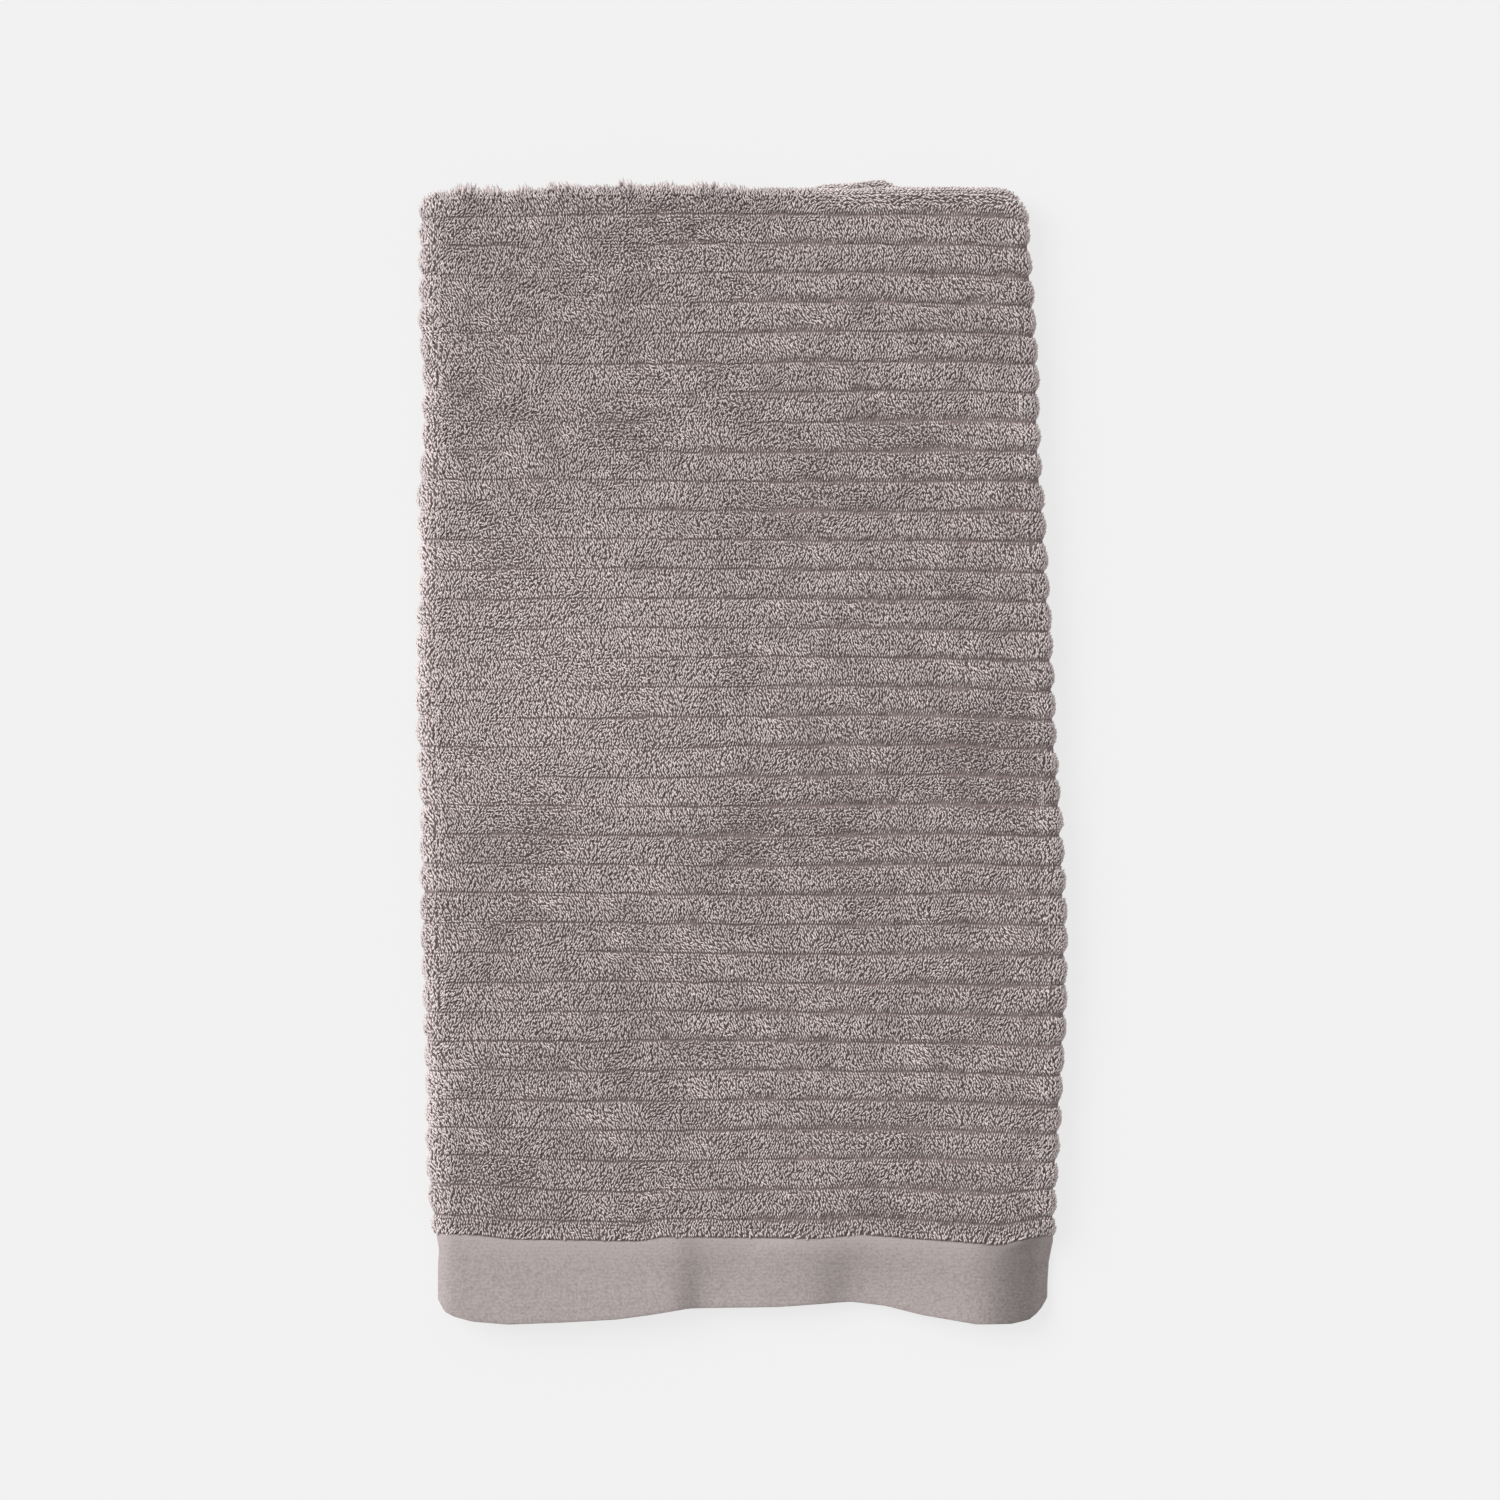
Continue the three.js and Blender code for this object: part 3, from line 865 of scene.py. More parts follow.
    def build(self) -> MeshData:
        """Closed section of the folded pair, carried across the towel, with both free edges closed.

        Returns:
            The mesh, with slot 0 on the ground and slot 1 on the band.
        """
        section, per_side = self.section()
        y, reach, turn, band = (np.array(part) for part in zip(*section))
        u = np.broadcast_to(self.sides()[None], (len(y), len(self.sides())))
        grid_y = np.broadcast_to(y[:, None], u.shape)
        s = self.cloth.run_to_s(u, grid_y)
        points = self.cloth.point(s, grid_y, reach[:, None], turn[:, None])[0]
        index = np.arange(u.size).reshape(u.shape)
        ahead = np.roll(index, -1, axis=0)
        quads = np.stack([index[:, :-1], index[:, 1:], ahead[:, 1:], ahead[:, :-1]], axis=-1)
        edge_quads, tris = self.edge_faces(index, per_side)
        slots = np.repeat(band & np.roll(band, -1), u.shape[1] - 1)
        return MeshData(
            points.reshape(-1, 3), np.concatenate([quads.reshape(-1, 4), edge_quads]), tris,
            {"cloth_x": s, "cloth_y": grid_y, "fold_shade": self.fold_shade(points[..., 0])},
            np.concatenate([slots, np.tile(band[1:per_side], 2)]),
        )


@dataclass(frozen=True)
class Bed:
    """A stretch of cloth that is sown with loops.

    Attributes:
        name: The piece's name.
        start: Run number and share where it starts across the cloth.
        stop: Run number and share where it stops.
        low: Its lowest place along Y.
        high: Its highest place along Y.
        spacing: Distance between loops along a row.
        rows_per_rib: Rows of loops on each rib.
        turn: Which layer it is on.
        size: Loop size against the front's loops.
        fray: How far in from its two sides the loops thin out, in millimetres.
        seed_step: What a run number adds to the bed's seed.
    """

    name: str
    start: float
    stop: float
    low: float
    high: float
    spacing: float = 1.65
    rows_per_rib: int = 10
    turn: float = 0.0
    size: float = 1.0
    fray: float = 0.0
    seed_step: float = 70.0

    def seeds(self) -> list[int]:
        """The bed's own seeds, from its name's length and its place."""
        return [len(self.name), int(abs(self.low) + self.seed_step * self.start)]


@dataclass(frozen=True)
class Grooves:
    """Where the grooves between ribs are crisp, and the marks that a crisp groove leaves.

    It has a thin dark line along it and a dark strip, mostly below the rib above; the loops there are
    lower and darkened with painted shade. Pairs named _x or _y are where a change starts and ends,
    and pairs named _from are shares between which it eases.
    """

    base: float = 0.34
    rightward: float = 0.76
    rightward_x: tuple = (-110, 100)
    downward: float = 0.12
    downward_x: tuple = (140, 0)
    downward_y: tuple = (120, -120)
    broad: SmoothNoise = SmoothNoise(51, 38, 17, 0.4)
    small: SmoothNoise = SmoothNoise(52, 9, 13, 0.3)
    crispest: float = 1.4
    wide_from: tuple = (0.6, 1.2)
    strip_from: tuple = (0.2, 1.1)
    strip_reach: tuple = (0.9, 3.2)
    lip_reach: tuple = (0.5, 1.0)
    line_from: tuple = (0.15, 0.8)
    left_x: tuple = (20, -60)
    upper_y: tuple = (220, 130)
    upper: float = 0.22
    upper_patches: SmoothNoise = SmoothNoise(54, 26, 11, 0.75)
    lower_y: tuple = (-150, -240)
    lower: float = 0.65

    def crisp(self, x: Array, y: Array) -> Array:
        """How crisp the grooves are: more so to the right and towards the band, and patchy.

        Args:
            x: Places along X.
            y: Places along Y.

        Returns:
            0 where no groove shows, and 1 or a little more where it is crisp.
        """
        level = self.base + self.rightward * ease(*self.rightward_x, x)
        level = level + self.downward * ease(*self.downward_y, y) * ease(*self.downward_x, x)
        return np.clip(level + (self.broad.at(x, y) + self.small.at(x, y)), 0.0, self.crispest)

    def strip(self, crisp: Array, beside: Array, higher: Array) -> Array:
        """Share of the dark strip: exp(-(distance / reach)^4), wider where the groove is crisper.

        Args:
            crisp: How crisp the groove is.
            beside: Distance to the groove.
            higher: Place on the rib, negative on its lower half.

        Returns:
            The share, from 0 to 1.
        """
        wide = ease(*self.wide_from, crisp)
        (low, low_more), (high, high_more) = self.strip_reach, self.lip_reach
        reach = np.where(higher < 0, low + low_more * wide, high + high_more * wide)
        return ease(*self.strip_from, crisp) * np.exp(-((beside / reach) ** 4))

    def line(self, crisp: Array, x: Array, y: Array) -> Array:
        """Share of the thin line along a groove, which also shows at the left, below the upper ribs.

        Args:
            crisp: How crisp the groove is.
            x: Places along X.
            y: Places along Y.

        Returns:
            The share, from 0 to 1.
        """
        upper = ease(*self.upper_y, y) * ease(*self.left_x, x)
        upper = upper * (self.upper + self.upper_patches.at(x, y))
        lower = self.lower * ease(*self.lower_y, y) * ease(*self.left_x, x)
        return np.clip(ease(*self.line_from, crisp) + np.maximum(upper, lower), 0, 1)


@dataclass(frozen=True)
class Tousle:
    """Where the pile is tousled: a few named patches and a broad noise."""

    broad: SmoothNoise = SmoothNoise(21, 34, 26)
    broad_from: tuple = (0.25, 0.9)
    broad_share: float = 0.5

    def at(self, x: Array, y: Array) -> Array:
        """Share by which the pile is tousled, from 0 to 1."""
        patches = np.max([spot_share(spot, x, y) for spot in TOUSLED], axis=0)
        return np.clip(patches + self.broad_share * ease(*self.broad_from, self.broad.at(x, y)), 0, 1)


@dataclass(frozen=True)
class YarnTone:
    """Tone of the yarn over the towel: 0 is its dark shade and 1 its light one."""

    base: float = 0.70
    broad: SmoothNoise = SmoothNoise(41, 60, 70, 0.05)
    small: SmoothNoise = SmoothNoise(42, 15, 10, 0.11)
    fine: SmoothNoise = SmoothNoise(45, 6, 4.5, 0.08)
    patch_light: float = 0.5
    painted_left_light: float = 0.18
    left_x: tuple = (-165, -186)
    painted_left_shade: float = 0.22
    left_from: tuple = (0.3, 0.9)
    painted_right_light: float = 0.42
    right_from: tuple = (0.4, 0.95)

    def at(self, x: Array, y: Array, out: Array) -> Array:
        """Tone with broad and small mottling, a lighter patch to the left, and painted light and shade at
        the sides.

        Args:
            x: Places along X.
            y: Places along Y.
            out: Outward directions.

        Returns:
            One tone for each place.
        """
        small = self.small.at(x, y) + self.fine.at(x, y)
        patch = self.patch_light * spot_share(LIGHT_PATCH, x, y)
        # Painted light and shade at the sides: lighter along the left edge and on loops facing right, darker
        # on loops facing left.
        left = self.painted_left_light * ease(*self.left_x, x) - self.painted_left_shade * ease(*self.left_from, -out[:, 0])
        right = self.painted_right_light * ease(*self.right_from, out[:, 0])
        return self.base + self.broad.at(x, y) + small + patch + left + right


@dataclass(frozen=True)
class Places:
    """What the cloth is like at each loop of a bed. Every field is an array.

    Attributes:
        x: Place along X.
        y: Place along Y.
        out: Outward direction.
        over_band: Distance along the cloth from the band.
        higher: Place on the rib, from -1 at its lower groove to 1 at its upper one.
        edge: Share from 0 at the rib's middle to 1 at a groove.
        crisp: How crisp the grooves are.
        groove: Share of the line along the groove.
        strip: Share of the strip beside it.
        wild: Share by which the pile is tousled.
        clump: Noise of the pile's small clumps.
        neat: Share by which loops lie in neat rows.
    """

    x: Array
    y: Array
    out: Array
    over_band: Array
    higher: Array
    edge: Array
    crisp: Array
    groove: Array
    strip: Array
    wild: Array
    clump: Array
    neat: Array


@dataclass
class LoopPile:
    """The cotton loops that stand on the ground in rows along each rib. Millimetres and radians.

    Values named _stray are spreads of normal draws. Lengths named _drop lower a loop, and tones
    named _light or _shade make it lighter or darker. The tip, top, lip and end lights and the groove
    and strip shades are painted light and shade.
    """

    cloth: FoldedCloth
    grooves: Grooves = Grooves()
    tousled: Tousle = Tousle()
    yarn: YarnTone = YarnTone()
    seed: int = 5
    ring_sides: int = 3
    ring_at: float = 0.1
    length: float = 3.9
    length_range: tuple = (0.82, 1.15)
    width: float = 1.35
    width_range: tuple = (0.85, 1.12)
    foot: float = 1.05
    stand: float = 1.1
    stand_stray: float = 0.2
    floor_gap: float = 0.04
    across_stray: float = 0.17
    strip_order: float = 0.7
    along_stray: float = 0.42
    along_range: tuple = (0.45, 0.55)
    calm_reach: float = 5.0
    band_reach: float = 5.0
    band_stray: float = 0.8
    groove_half: float = 0.42
    groove_waver: SmoothNoise = SmoothNoise(53, 6, 9, 0.8)
    groove_width: float = 0.8
    groove_drop: float = 0.9
    painted_groove_shade: float = 0.15
    groove_thin: float = 0.4
    strip_drop: float = 0.6
    painted_strip_shade: float = 0.20
    strip_thin: float = 0.2
    strip_calm: float = 0.85
    strip_stray: float = 0.27
    round_drop: tuple = (0.6, 1.4)
    round_crisp: tuple = (0.6, 0.5)
    left_from: tuple = (0.2, 0.9)
    left_drop: float = 1.1
    left_rise: float = 0.6
    band_drop: float = 1.5
    wild_drop: float = 0.35
    clumps: SmoothNoise = SmoothNoise(43, 7.5, 5.5)
    clump_rise: float = 0.35
    swells: SmoothNoise = SmoothNoise(44, 15, 12, 0.25)
    drift_broad: SmoothNoise = SmoothNoise(31, 26, 15, 0.5)
    drift_small: SmoothNoise = SmoothNoise(32, 8, 7, 0.5)
    heading_stray: tuple = (0.3, 0.8)
    lean: float = 0.5
    lean_stray: float = 0.16
    lean_wild: float = 0.2
    lean_limits: tuple = (0.12, 1.2)
    neat_x: tuple = (20, 60)
    neat_y: tuple = (332, 340)
    neat_heading: float = 1.15
    neat_light: float = 0.07
    painted_tip_light: float = 0.26
    painted_top_light: float = 0.08
    lip_from: tuple = (0.2, 0.9)
    painted_lip_light: float = 0.06
    clump_light: float = 0.13
    wild_shade: float = 0.19
    tone_stray: float = 0.05
    end_reach: float = 7.0
    painted_end_light: float = 0.42
    bed_inset: tuple = (3.0, 5.0)
    face_beds: int = 4
    face_runs: tuple = (1.3, 3.7)
    left_runs: tuple = (1.0, 2.01)
    right_runs: tuple = (2.99, 4.0)
    back_runs: tuple = (2.3, 2.75)

    def template(self) -> tuple[Array, Array]:
        """One loop as a closed spindle: a ring between two tips, with the long axis first.

        Returns:
            Points as shares of the half length and half width, and triangles.
        """
        k = np.arange(self.ring_sides)
        angle = 2 * pi * k / self.ring_sides
        ring = np.stack([np.full(len(k), self.ring_at), np.cos(angle), np.sin(angle)], axis=1)
        points = np.concatenate([[[-1.0, 0, 0]], ring, [[1.0, 0, 0]]])
        after = (k + 1) % len(k)
        start = np.stack([0 * k, 1 + after, 1 + k], axis=1)
        stop = np.stack([0 * k + 1 + len(k), 1 + k, 1 + after], axis=1)
        return points, np.concatenate([start, stop])

    def sow(self, bed: Bed) -> tuple[Array, Array]:
        """Places of the loops across and along the cloth.

        Each rib has its own even rows, drawn in from the grooves where these are crisp. Every other
        row is offset by half a spacing, and each loop strays a little, less so beside a groove.

        Args:
            bed: The stretch to sow.

        Returns:
            Distance across the cloth and place along Y, for each loop.
        """
        cloth = self.cloth
        rng = np.random.default_rng([self.seed] + bed.seeds())
        share = (np.arange(bed.rows_per_rib) + 0.5) / bed.rows_per_rib
        ribs = np.arange(-1, cloth.rib_count + 2)
        y = (cloth.first_groove - ribs[:, None] * cloth.rib_pitch + share * cloth.rib_pitch).ravel()
        y = y[(y > bed.low) & (y < bed.high)]
        s = (np.arange(int(cloth.width / bed.spacing)) + 0.5) * bed.spacing
        y, s = np.meshgrid(y, s, indexing="ij")
        offset = (np.arange(len(y)) % 2)[:, None] * bed.spacing / 2
        middle = cloth.rib_middle(y)
        crisp = self.grooves.crisp(s - cloth.width / 2, y)
        strip = self.grooves.strip(crisp, cloth.groove_distance(y), y - middle)
        stray = rng.normal(0, self.across_stray * bed.spacing, s.shape)
        s = s + offset + stray * (1 - self.strip_order * strip)
        bare = self.groove_half * self.grooves.line(crisp, s - cloth.width / 2, y)
        y = middle + (y - middle) * (1 - 2 * bare / cloth.rib_pitch)
        calm = ease(0.0, self.calm_reach, cloth.groove_distance(y))
        least, more = self.along_range
        y = y + rng.normal(0, self.along_stray, y.shape) * (least + more * calm)
        y = y + self.groove_waver.at(s, y) * (1 - calm)
        y = y + rng.normal(0, self.band_stray, y.shape) * ease(self.band_reach, 0.0, y - cloth.band_y)
        start = cloth.run_to_s(np.full(y.shape, bed.start), y)
        stop = cloth.run_to_s(np.full(y.shape, bed.stop), y)
        fray = bed.fray * rng.uniform(0, 1, s.shape)
        kept = (s >= start + fray) & (s < stop - fray)
        return s[kept], y[kept]

    def stand_up(
        self, centre: Array, out: Array, side: Array, pose: tuple, size: tuple, tone: Array
    ) -> MeshData:
        """Stands one spindle at each place.

        Args:
            centre: Middles of the loops.
            out: Outward directions.
            side: Directions across the cloth.
            pose: Heading of each loop about the outward direction, and its rise from the cloth.
            size: Half length and half width of each loop.
            tone: Tone of each loop.

        Returns:
            The joined loops with a shade at each point, lighter at the tip that stands up and on the side
            facing out and darker at the foot, as painted light and shade.
        """
        heading, rise = (part[:, None] for part in pose)
        long, wide = (part[:, None, None] for part in size)
        ahead = np.cross(out, side)
        axis = (ahead * np.cos(heading) + side * np.sin(heading)) * np.cos(rise) + out * np.sin(rise)
        cross = np.cross(axis, out)
        cross /= np.maximum(np.linalg.norm(cross, axis=1, keepdims=True), TINY)
        third = np.cross(cross, axis)
        points, tris = self.template()
        along, beside, above = (points[None, :, part:part + 1] for part in range(3))
        made = centre[:, None] + along * long * axis[:, None]
        made = made + beside * wide * cross[:, None] + above * wide * third[:, None]
        made[..., 2] = np.maximum(made[..., 2], self.floor_gap)
        # Painted light and shade: each loop is lighter towards its raised tip and its outward side, darker
        # at its foot.
        shade = tone[:, None] + self.painted_tip_light * along[..., 0] + self.painted_top_light * above[..., 0]
        step = (np.arange(len(centre)) * len(points))[:, None, None]
        return MeshData(
            made.reshape(-1, 3), np.empty((0, 4), int), (tris[None] + step).reshape(-1, 3),
            {"shade": np.clip(shade, 0, 1)},
        )

    def look(self, points: Array, out: Array, y: Array) -> Places:
        """Reads what the cloth is like at each loop.

        Args:
            points: Feet of the loops.
            out: Outward directions.
            y: Places along the cloth before the edges' shifts.

        Returns:
            The ribs, grooves and patches at these places.
        """
        cloth = self.cloth
        at_x, at_y = points[:, 0], points[:, 1]
        beside = cloth.groove_distance(y)
        higher = (y - cloth.rib_middle(y)) / (cloth.rib_pitch / 2)
        crisp = self.grooves.crisp(at_x, at_y)
        line = self.grooves.line(crisp, at_x, at_y)
        return Places(
            x=at_x, y=at_y, out=out, over_band=y - cloth.band_y, higher=higher,
            edge=np.clip(1.0 - 2 * beside / cloth.rib_pitch, 0, 1), crisp=crisp,
            groove=line * np.exp(-((beside / self.groove_width) ** 2)),
            strip=self.grooves.strip(crisp, beside, higher), wild=self.tousled.at(at_x, at_y),
            clump=self.clumps.at(at_x, at_y), neat=ease(*self.neat_x, at_x) * ease(*self.neat_y, at_y),
        )

    def heights(self, at: Places, rng: np.random.Generator) -> Array:
        """Heights of the loops: the rib's rounded section, the groove beside it and small clumps.

        Args:
            at: The loops' places.
            rng: Source of the random draws.

        Returns:
            Height of each loop's middle above its foot.
        """
        outer_left = ease(*self.left_from, -at.out[:, 0])
        (flat, turned), (soft, crisp) = self.round_drop, self.round_crisp
        rounded = (flat + turned * np.abs(at.out[:, 0])) * (soft + crisp * at.crisp)
        rounded = rounded + self.left_drop * outer_left
        drop = rounded * at.edge**2 + self.groove_drop * at.groove + self.strip_drop * at.strip
        drop = drop + self.band_drop * ease(self.band_reach, 0.0, at.over_band)
        height = self.stand - drop + self.left_rise * outer_left
        height = height + self.stand_stray * rng.normal(0, 1, len(drop))
        height = height - self.wild_drop * at.wild * rng.uniform(0, 1, len(drop))
        return height + self.clump_rise * at.clump + self.swells.at(at.x, at.y)

    def poses(self, at: Places, rng: np.random.Generator) -> tuple[Array, Array]:
        """Ways that the loops lean: towards Y, drifting from place to place, wilder where tousled.

        Args:
            at: The loops' places.
            rng: Source of the random draws.

        Returns:
            Heading of each loop about the outward direction, and its rise from the cloth.
        """
        count = len(at.x)
        drift = self.drift_broad.at(at.x, at.y) + self.drift_small.at(at.x, at.y)
        least, more = self.heading_stray
        heading = drift + rng.normal(0, 1, count) * (least + more * at.wild)
        heading = heading * (1 - self.strip_calm * at.strip)
        heading = mix(heading, np.sign(heading) * self.neat_heading, at.neat)
        rise = self.lean + self.lean_stray * rng.normal(0, 1, count) + self.lean_wild * at.wild
        return heading, np.clip(rise, *self.lean_limits)

    def sizes(self, at: Places, rng: np.random.Generator, scale: float) -> tuple[Array, Array]:
        """Sizes of the loops, smaller in a groove and thinner in a strip.

        Args:
            at: The loops' places.
            rng: Source of the random draws.
            scale: The bed's loop size.

        Returns:
            Half length and half width of each loop.
        """
        scale = scale * (1 - self.groove_thin * at.groove)
        long = self.length / 2 * scale * rng.uniform(*self.length_range, len(at.x))
        wide = self.width / 2 * scale * rng.uniform(*self.width_range, len(at.x))
        return long, wide * (1 - self.strip_thin * at.strip)

    def tones(self, at: Places, rng: np.random.Generator) -> Array:
        """Tones of the loops: the yarn's, speckled in strips, with painted shade in grooves and strips and
        painted light on the ribs' upper lips and at the pile's end by the band.

        Args:
            at: The loops' places.
            rng: Source of the random draws.

        Returns:
            Tone of each loop.
        """
        tone = self.yarn.at(at.x, at.y, at.out) + self.clump_light * at.clump - self.wild_shade * at.wild
        tone = tone + rng.normal(0, 1, len(at.x)) * (self.tone_stray + self.strip_stray * at.strip)
        # Painted shade in the grooves and in the strips below the ribs; painted light on the ribs' upper
        # lips and at the pile's end by the band.
        tone = tone - self.painted_groove_shade * at.groove - self.painted_strip_shade * at.strip
        tone = tone + self.painted_lip_light * at.crisp * ease(*self.lip_from, at.higher) * (1 - at.groove)
        return tone + self.painted_end_light * ease(self.end_reach, 0.0, at.over_band) + self.neat_light * at.neat

    def grow(self, bed: Bed) -> MeshData:
        """Loops of one bed.

        Args:
            bed: The stretch to cover.

        Returns:
            The joined loops with a shade at each point.
        """
        s, y = self.sow(bed)
        rng = np.random.default_rng([self.seed, len(s)])
        feet, out, side = self.cloth.point(s, y, self.foot, bed.turn)
        at = self.look(feet, out, y)
        height, pose = self.heights(at, rng), self.poses(at, rng)
        size, tone = self.sizes(at, rng, bed.size), self.tones(at, rng)
        return self.stand_up(feet + out * height[:, None], out, side, pose, size, tone)

    def beds(self) -> list[Bed]:
        """The stretches that carry loops, from the face to the hidden underside.

        Returns:
            The beds: four along the face, one on each side roll, one on each flap and the back.
        """
        low, high = self.cloth.band_y + self.bed_inset[0], self.cloth.fold_y - self.bed_inset[1]
        parts = np.linspace(low, high, self.face_beds + 1)
        side = {"low": low, "high": high, "spacing": 1.45, "rows_per_rib": 11, "fray": 6.0}
        under = {"low": low, "high": high, "spacing": 3.0, "rows_per_rib": 6, "size": 1.45}
        return [
            Bed(f"loops_face_{n + 1}", *self.face_runs, *parts[n:n + 2]) for n in range(self.face_beds)
        ] + [
            Bed("loops_side_left", *self.left_runs, **side),
            Bed("loops_side_right", *self.right_runs, **side),
            Bed("loops_under_left", 0.0, self.face_runs[0], **under),
            Bed("loops_under_right", self.face_runs[1], 5.0, **under),
            Bed("loops_back", *self.back_runs, turn=Face.BACK.value, **under),
        ]


@dataclass
class FoldPile(LoopPile):
    """The loops round the crosswise fold: pointed tufts to the left, neat rows to the right."""

    turns: int = 10
    turn_ends: tuple = (0.05, 0.1)
    turn_stray: float = 0.04
    spacing: float = 1.6
    run_ends: tuple = (1.0, 1.5)
    run_stray: float = 0.3
    run_edge: float = 0.5
    fold_heading_stray: float = 0.3
    fold_heading: float = 1.25
    fold_lean: float = 0.4
    fold_lean_stray: float = 0.12
    fold_lean_limits: tuple = (0.1, 1.45)
    fold_stand: float = 0.6
    fold_stand_stray: float = 0.15
    fold_tone_stray: float = 0.08
    fold_length: float = 0.9
    tuft_x: tuple = (30, -20)
    tuft_patches: SmoothNoise = SmoothNoise(61, 9, 50)
    tuft_from: tuple = (-0.5, 0.4)
    tuft_range: tuple = (0.3, 0.7)
    tuft_share: float = 0.42
    tuft_heading_stray: float = 0.9
    tuft_lean: float = 0.9
    tuft_length: float = 1.4
    tuft_length_range: tuple = (0.5, 1.2)
    tuft_wide: float = 0.5
    tuft_rise: float = 1.5

    def places(self, rng: np.random.Generator) -> tuple[Array, Array]:
        """Places of the loops, in rows one turn apart round the fold.

        Args:
            rng: Source of the random draws.

        Returns:
            Distance across the cloth and turn about the fold, for each loop.
        """
        width = self.cloth.width
        turn = np.linspace(self.turn_ends[0], pi - self.turn_ends[1], self.turns)
        s = np.arange(self.run_ends[0], width - self.run_ends[1], self.spacing)
        turn, s = np.meshgrid(turn, s, indexing="ij")
        s = s + (np.arange(self.turns) % 2)[:, None] * self.spacing / 2
        s, turn = s.ravel() + rng.normal(0, self.run_stray, s.size), turn.ravel()
        turn = np.clip(turn + rng.normal(0, self.turn_stray, turn.size), 0, pi)
        return np.clip(s, self.run_edge, width - self.run_edge), turn

    def round_fold(self) -> MeshData:
        """Loops round the whole length of the crosswise fold.

        Returns:
            The joined loops with a shade at each point.
        """
        rng = np.random.default_rng(self.seed + 1)
        s, turn = self.places(rng)
        feet, out, side = self.cloth.point(s, np.full(s.size, self.cloth.fold_start()), self.foot, turn)
        x = feet[:, 0]
        least, more = self.tuft_range
        patch = ease(*self.tuft_from, self.tuft_patches.at(x, 0 * x))
        tuft = ease(*self.tuft_x, x) * (least + more * patch) * (rng.uniform(0, 1, s.size) < self.tuft_share)
        heading = rng.normal(0, self.fold_heading_stray, s.size)
        heading = heading + tuft * rng.normal(0, self.tuft_heading_stray, s.size)
        heading = mix(heading, np.sign(heading) * self.fold_heading, ease(*self.neat_x, x))
        rise = rng.normal(self.fold_lean, self.fold_lean_stray, s.size) + self.tuft_lean * tuft
        pose = heading, np.clip(rise, *self.fold_lean_limits)
        longer = self.tuft_length * tuft * rng.uniform(*self.tuft_length_range, s.size)
        wide = self.width / 2 * rng.uniform(*self.width_range, s.size) * (1 + self.tuft_wide * tuft)
        size = self.length / 2 * (self.fold_length + longer), wide
        height = self.fold_stand + self.tuft_rise * tuft + self.fold_stand_stray * rng.normal(0, 1, s.size)
        tone = self.yarn.at(x, feet[:, 1], out) + rng.normal(0, self.fold_tone_stray, s.size)
        return self.stand_up(feet + out * height[:, None], out, side, pose, size, tone)


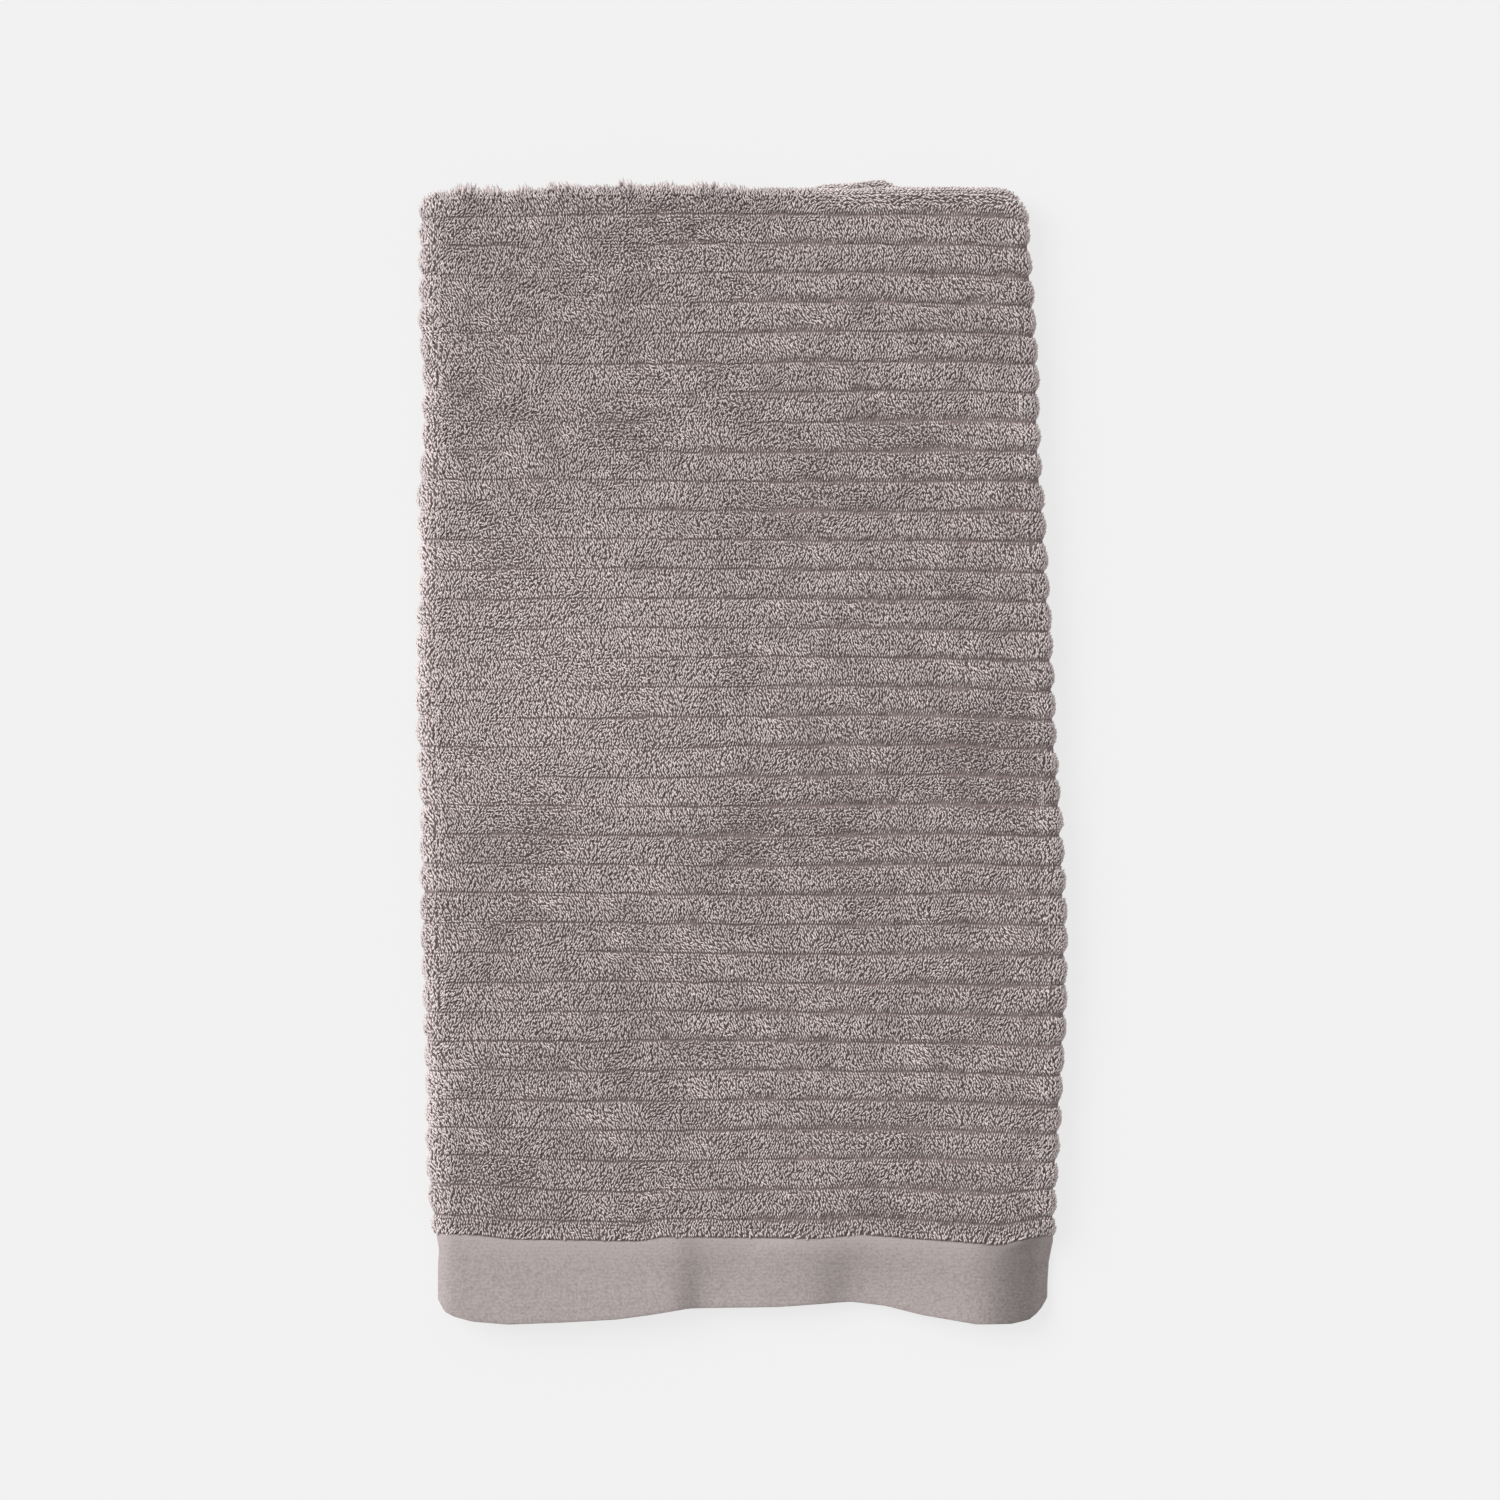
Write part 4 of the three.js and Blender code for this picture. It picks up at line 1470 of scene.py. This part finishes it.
@dataclass(frozen=True)
class Studio:
    """Pale floor, soft light from the upper left and a camera that looks straight down.

    The photo's scale, size and middle place the camera. Distances are in metres.
    """

    px_mm: float = 0.6167
    image_px: int = 1500
    center_px: tuple = (740.0, 756.0)
    distance: float = 4.2
    focus_z: float = 0.015
    surround: float = 0.50
    key: float = 2.55
    key_angle: float = 0.7
    key_from: tuple = (-0.75, 0.42, 0.72)
    floor_glow: float = 0.752
    floor_half: float = 6.0
    floor_roughness: float = 0.9
    floor_tones: tuple = ((0.128, 0.128, 0.128, 1), (0.132, 0.132, 0.132, 1))
    sensor_mm: float = 36.0
    far: float = 50.0

    def build(self, cloth: FoldedCloth) -> None:
        """Makes the floor, the lights and the camera.

        Args:
            cloth: The folded cloth, whose origin shift places the camera.
        """
        self.camera(cloth)
        self.floor()
        self.lights()
        bpy.context.scene.view_settings.view_transform = "Standard"

    def camera(self, cloth: FoldedCloth) -> None:
        """Long lens straight above the middle of the photo's frame.

        Args:
            cloth: The folded cloth, whose origin shift places the camera.
        """
        data = bpy.data.cameras.new("camera")
        data.sensor_width = self.sensor_mm
        data.lens = self.sensor_mm * self.distance / (self.px_mm * self.image_px * MM)
        data.clip_end = self.far
        camera = bpy.data.objects.new("camera", data)
        middle = self.image_px / 2
        x = (middle - self.center_px[0]) * self.px_mm - cloth.shift_x
        y = (self.center_px[1] - middle) * self.px_mm - cloth.shift_y
        camera.location = (x * MM, y * MM, self.focus_z + self.distance)
        bpy.context.scene.collection.objects.link(camera)
        bpy.context.scene.camera = camera

    def floor(self) -> None:
        """Plain pale floor at the underside, part of its paleness its own so that shadows stay faint."""
        mesh = bpy.data.meshes.new("floor")
        far = self.floor_half
        corners = [(-far, -far, 0), (far, -far, 0), (far, far, 0), (-far, far, 0)]
        mesh.from_pydata(corners, [], [(0, 1, 2, 3)])
        floor = bpy.data.objects.new("floor", mesh)
        bpy.context.scene.collection.objects.link(floor)
        paint = Paint("pale_floor")
        mesh.materials.append(paint.finish({
            "Base Color": paint.blend(paint.noise(3.0, 1.0), *self.floor_tones),
            "Roughness": self.floor_roughness, "Specular IOR Level": 0.0,
            "Emission Color": (1.0, 1.0, 1.0, 1.0), "Emission Strength": self.floor_glow,
        }))

    def lights(self) -> None:
        """Broad soft light from the upper left and an even pale surround."""
        world = bpy.data.worlds.new("surround")
        world.use_nodes = True
        background = world.node_tree.nodes["Background"].inputs
        background["Color"].default_value = (1, 1, 1, 1)
        background["Strength"].default_value = self.surround
        bpy.context.scene.world = world
        data = bpy.data.lights.new("key", "SUN")
        data.angle = self.key_angle
        data.energy = self.key
        light = bpy.data.objects.new("key", data)
        light.rotation_mode = "QUATERNION"
        light.rotation_quaternion = Vector(self.key_from).to_track_quat("Z", "Y")
        bpy.context.scene.collection.objects.link(light)


def main() -> None:
    """Builds the towel and its studio."""
    logging.basicConfig(level=logging.INFO, format="%(name)s: %(message)s")
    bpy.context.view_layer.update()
    cloth = FoldedCloth()
    Studio().build(cloth)
    loops = LoopYarn().dress()
    finishes = [GroundWeave().dress(), BandWeave(cloth.band_y).dress()]
    woven = WovenCloth(cloth).build().make("towel_woven", finishes)
    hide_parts("towel_cloth")
    log.info("woven cloth: %d faces", len(woven.data.polygons))
    pile = LoopPile(cloth)
    for bed in pile.beds():
        piece = pile.grow(bed).make(bed.name, [loops])
        log.info("%s: %d faces", bed.name, len(piece.data.polygons))
    fold = FoldPile(cloth).round_fold().make("loops_fold", [loops])
    log.info("loops_fold: %d faces", len(fold.data.polygons))


if __name__ == "__main__":
    main()
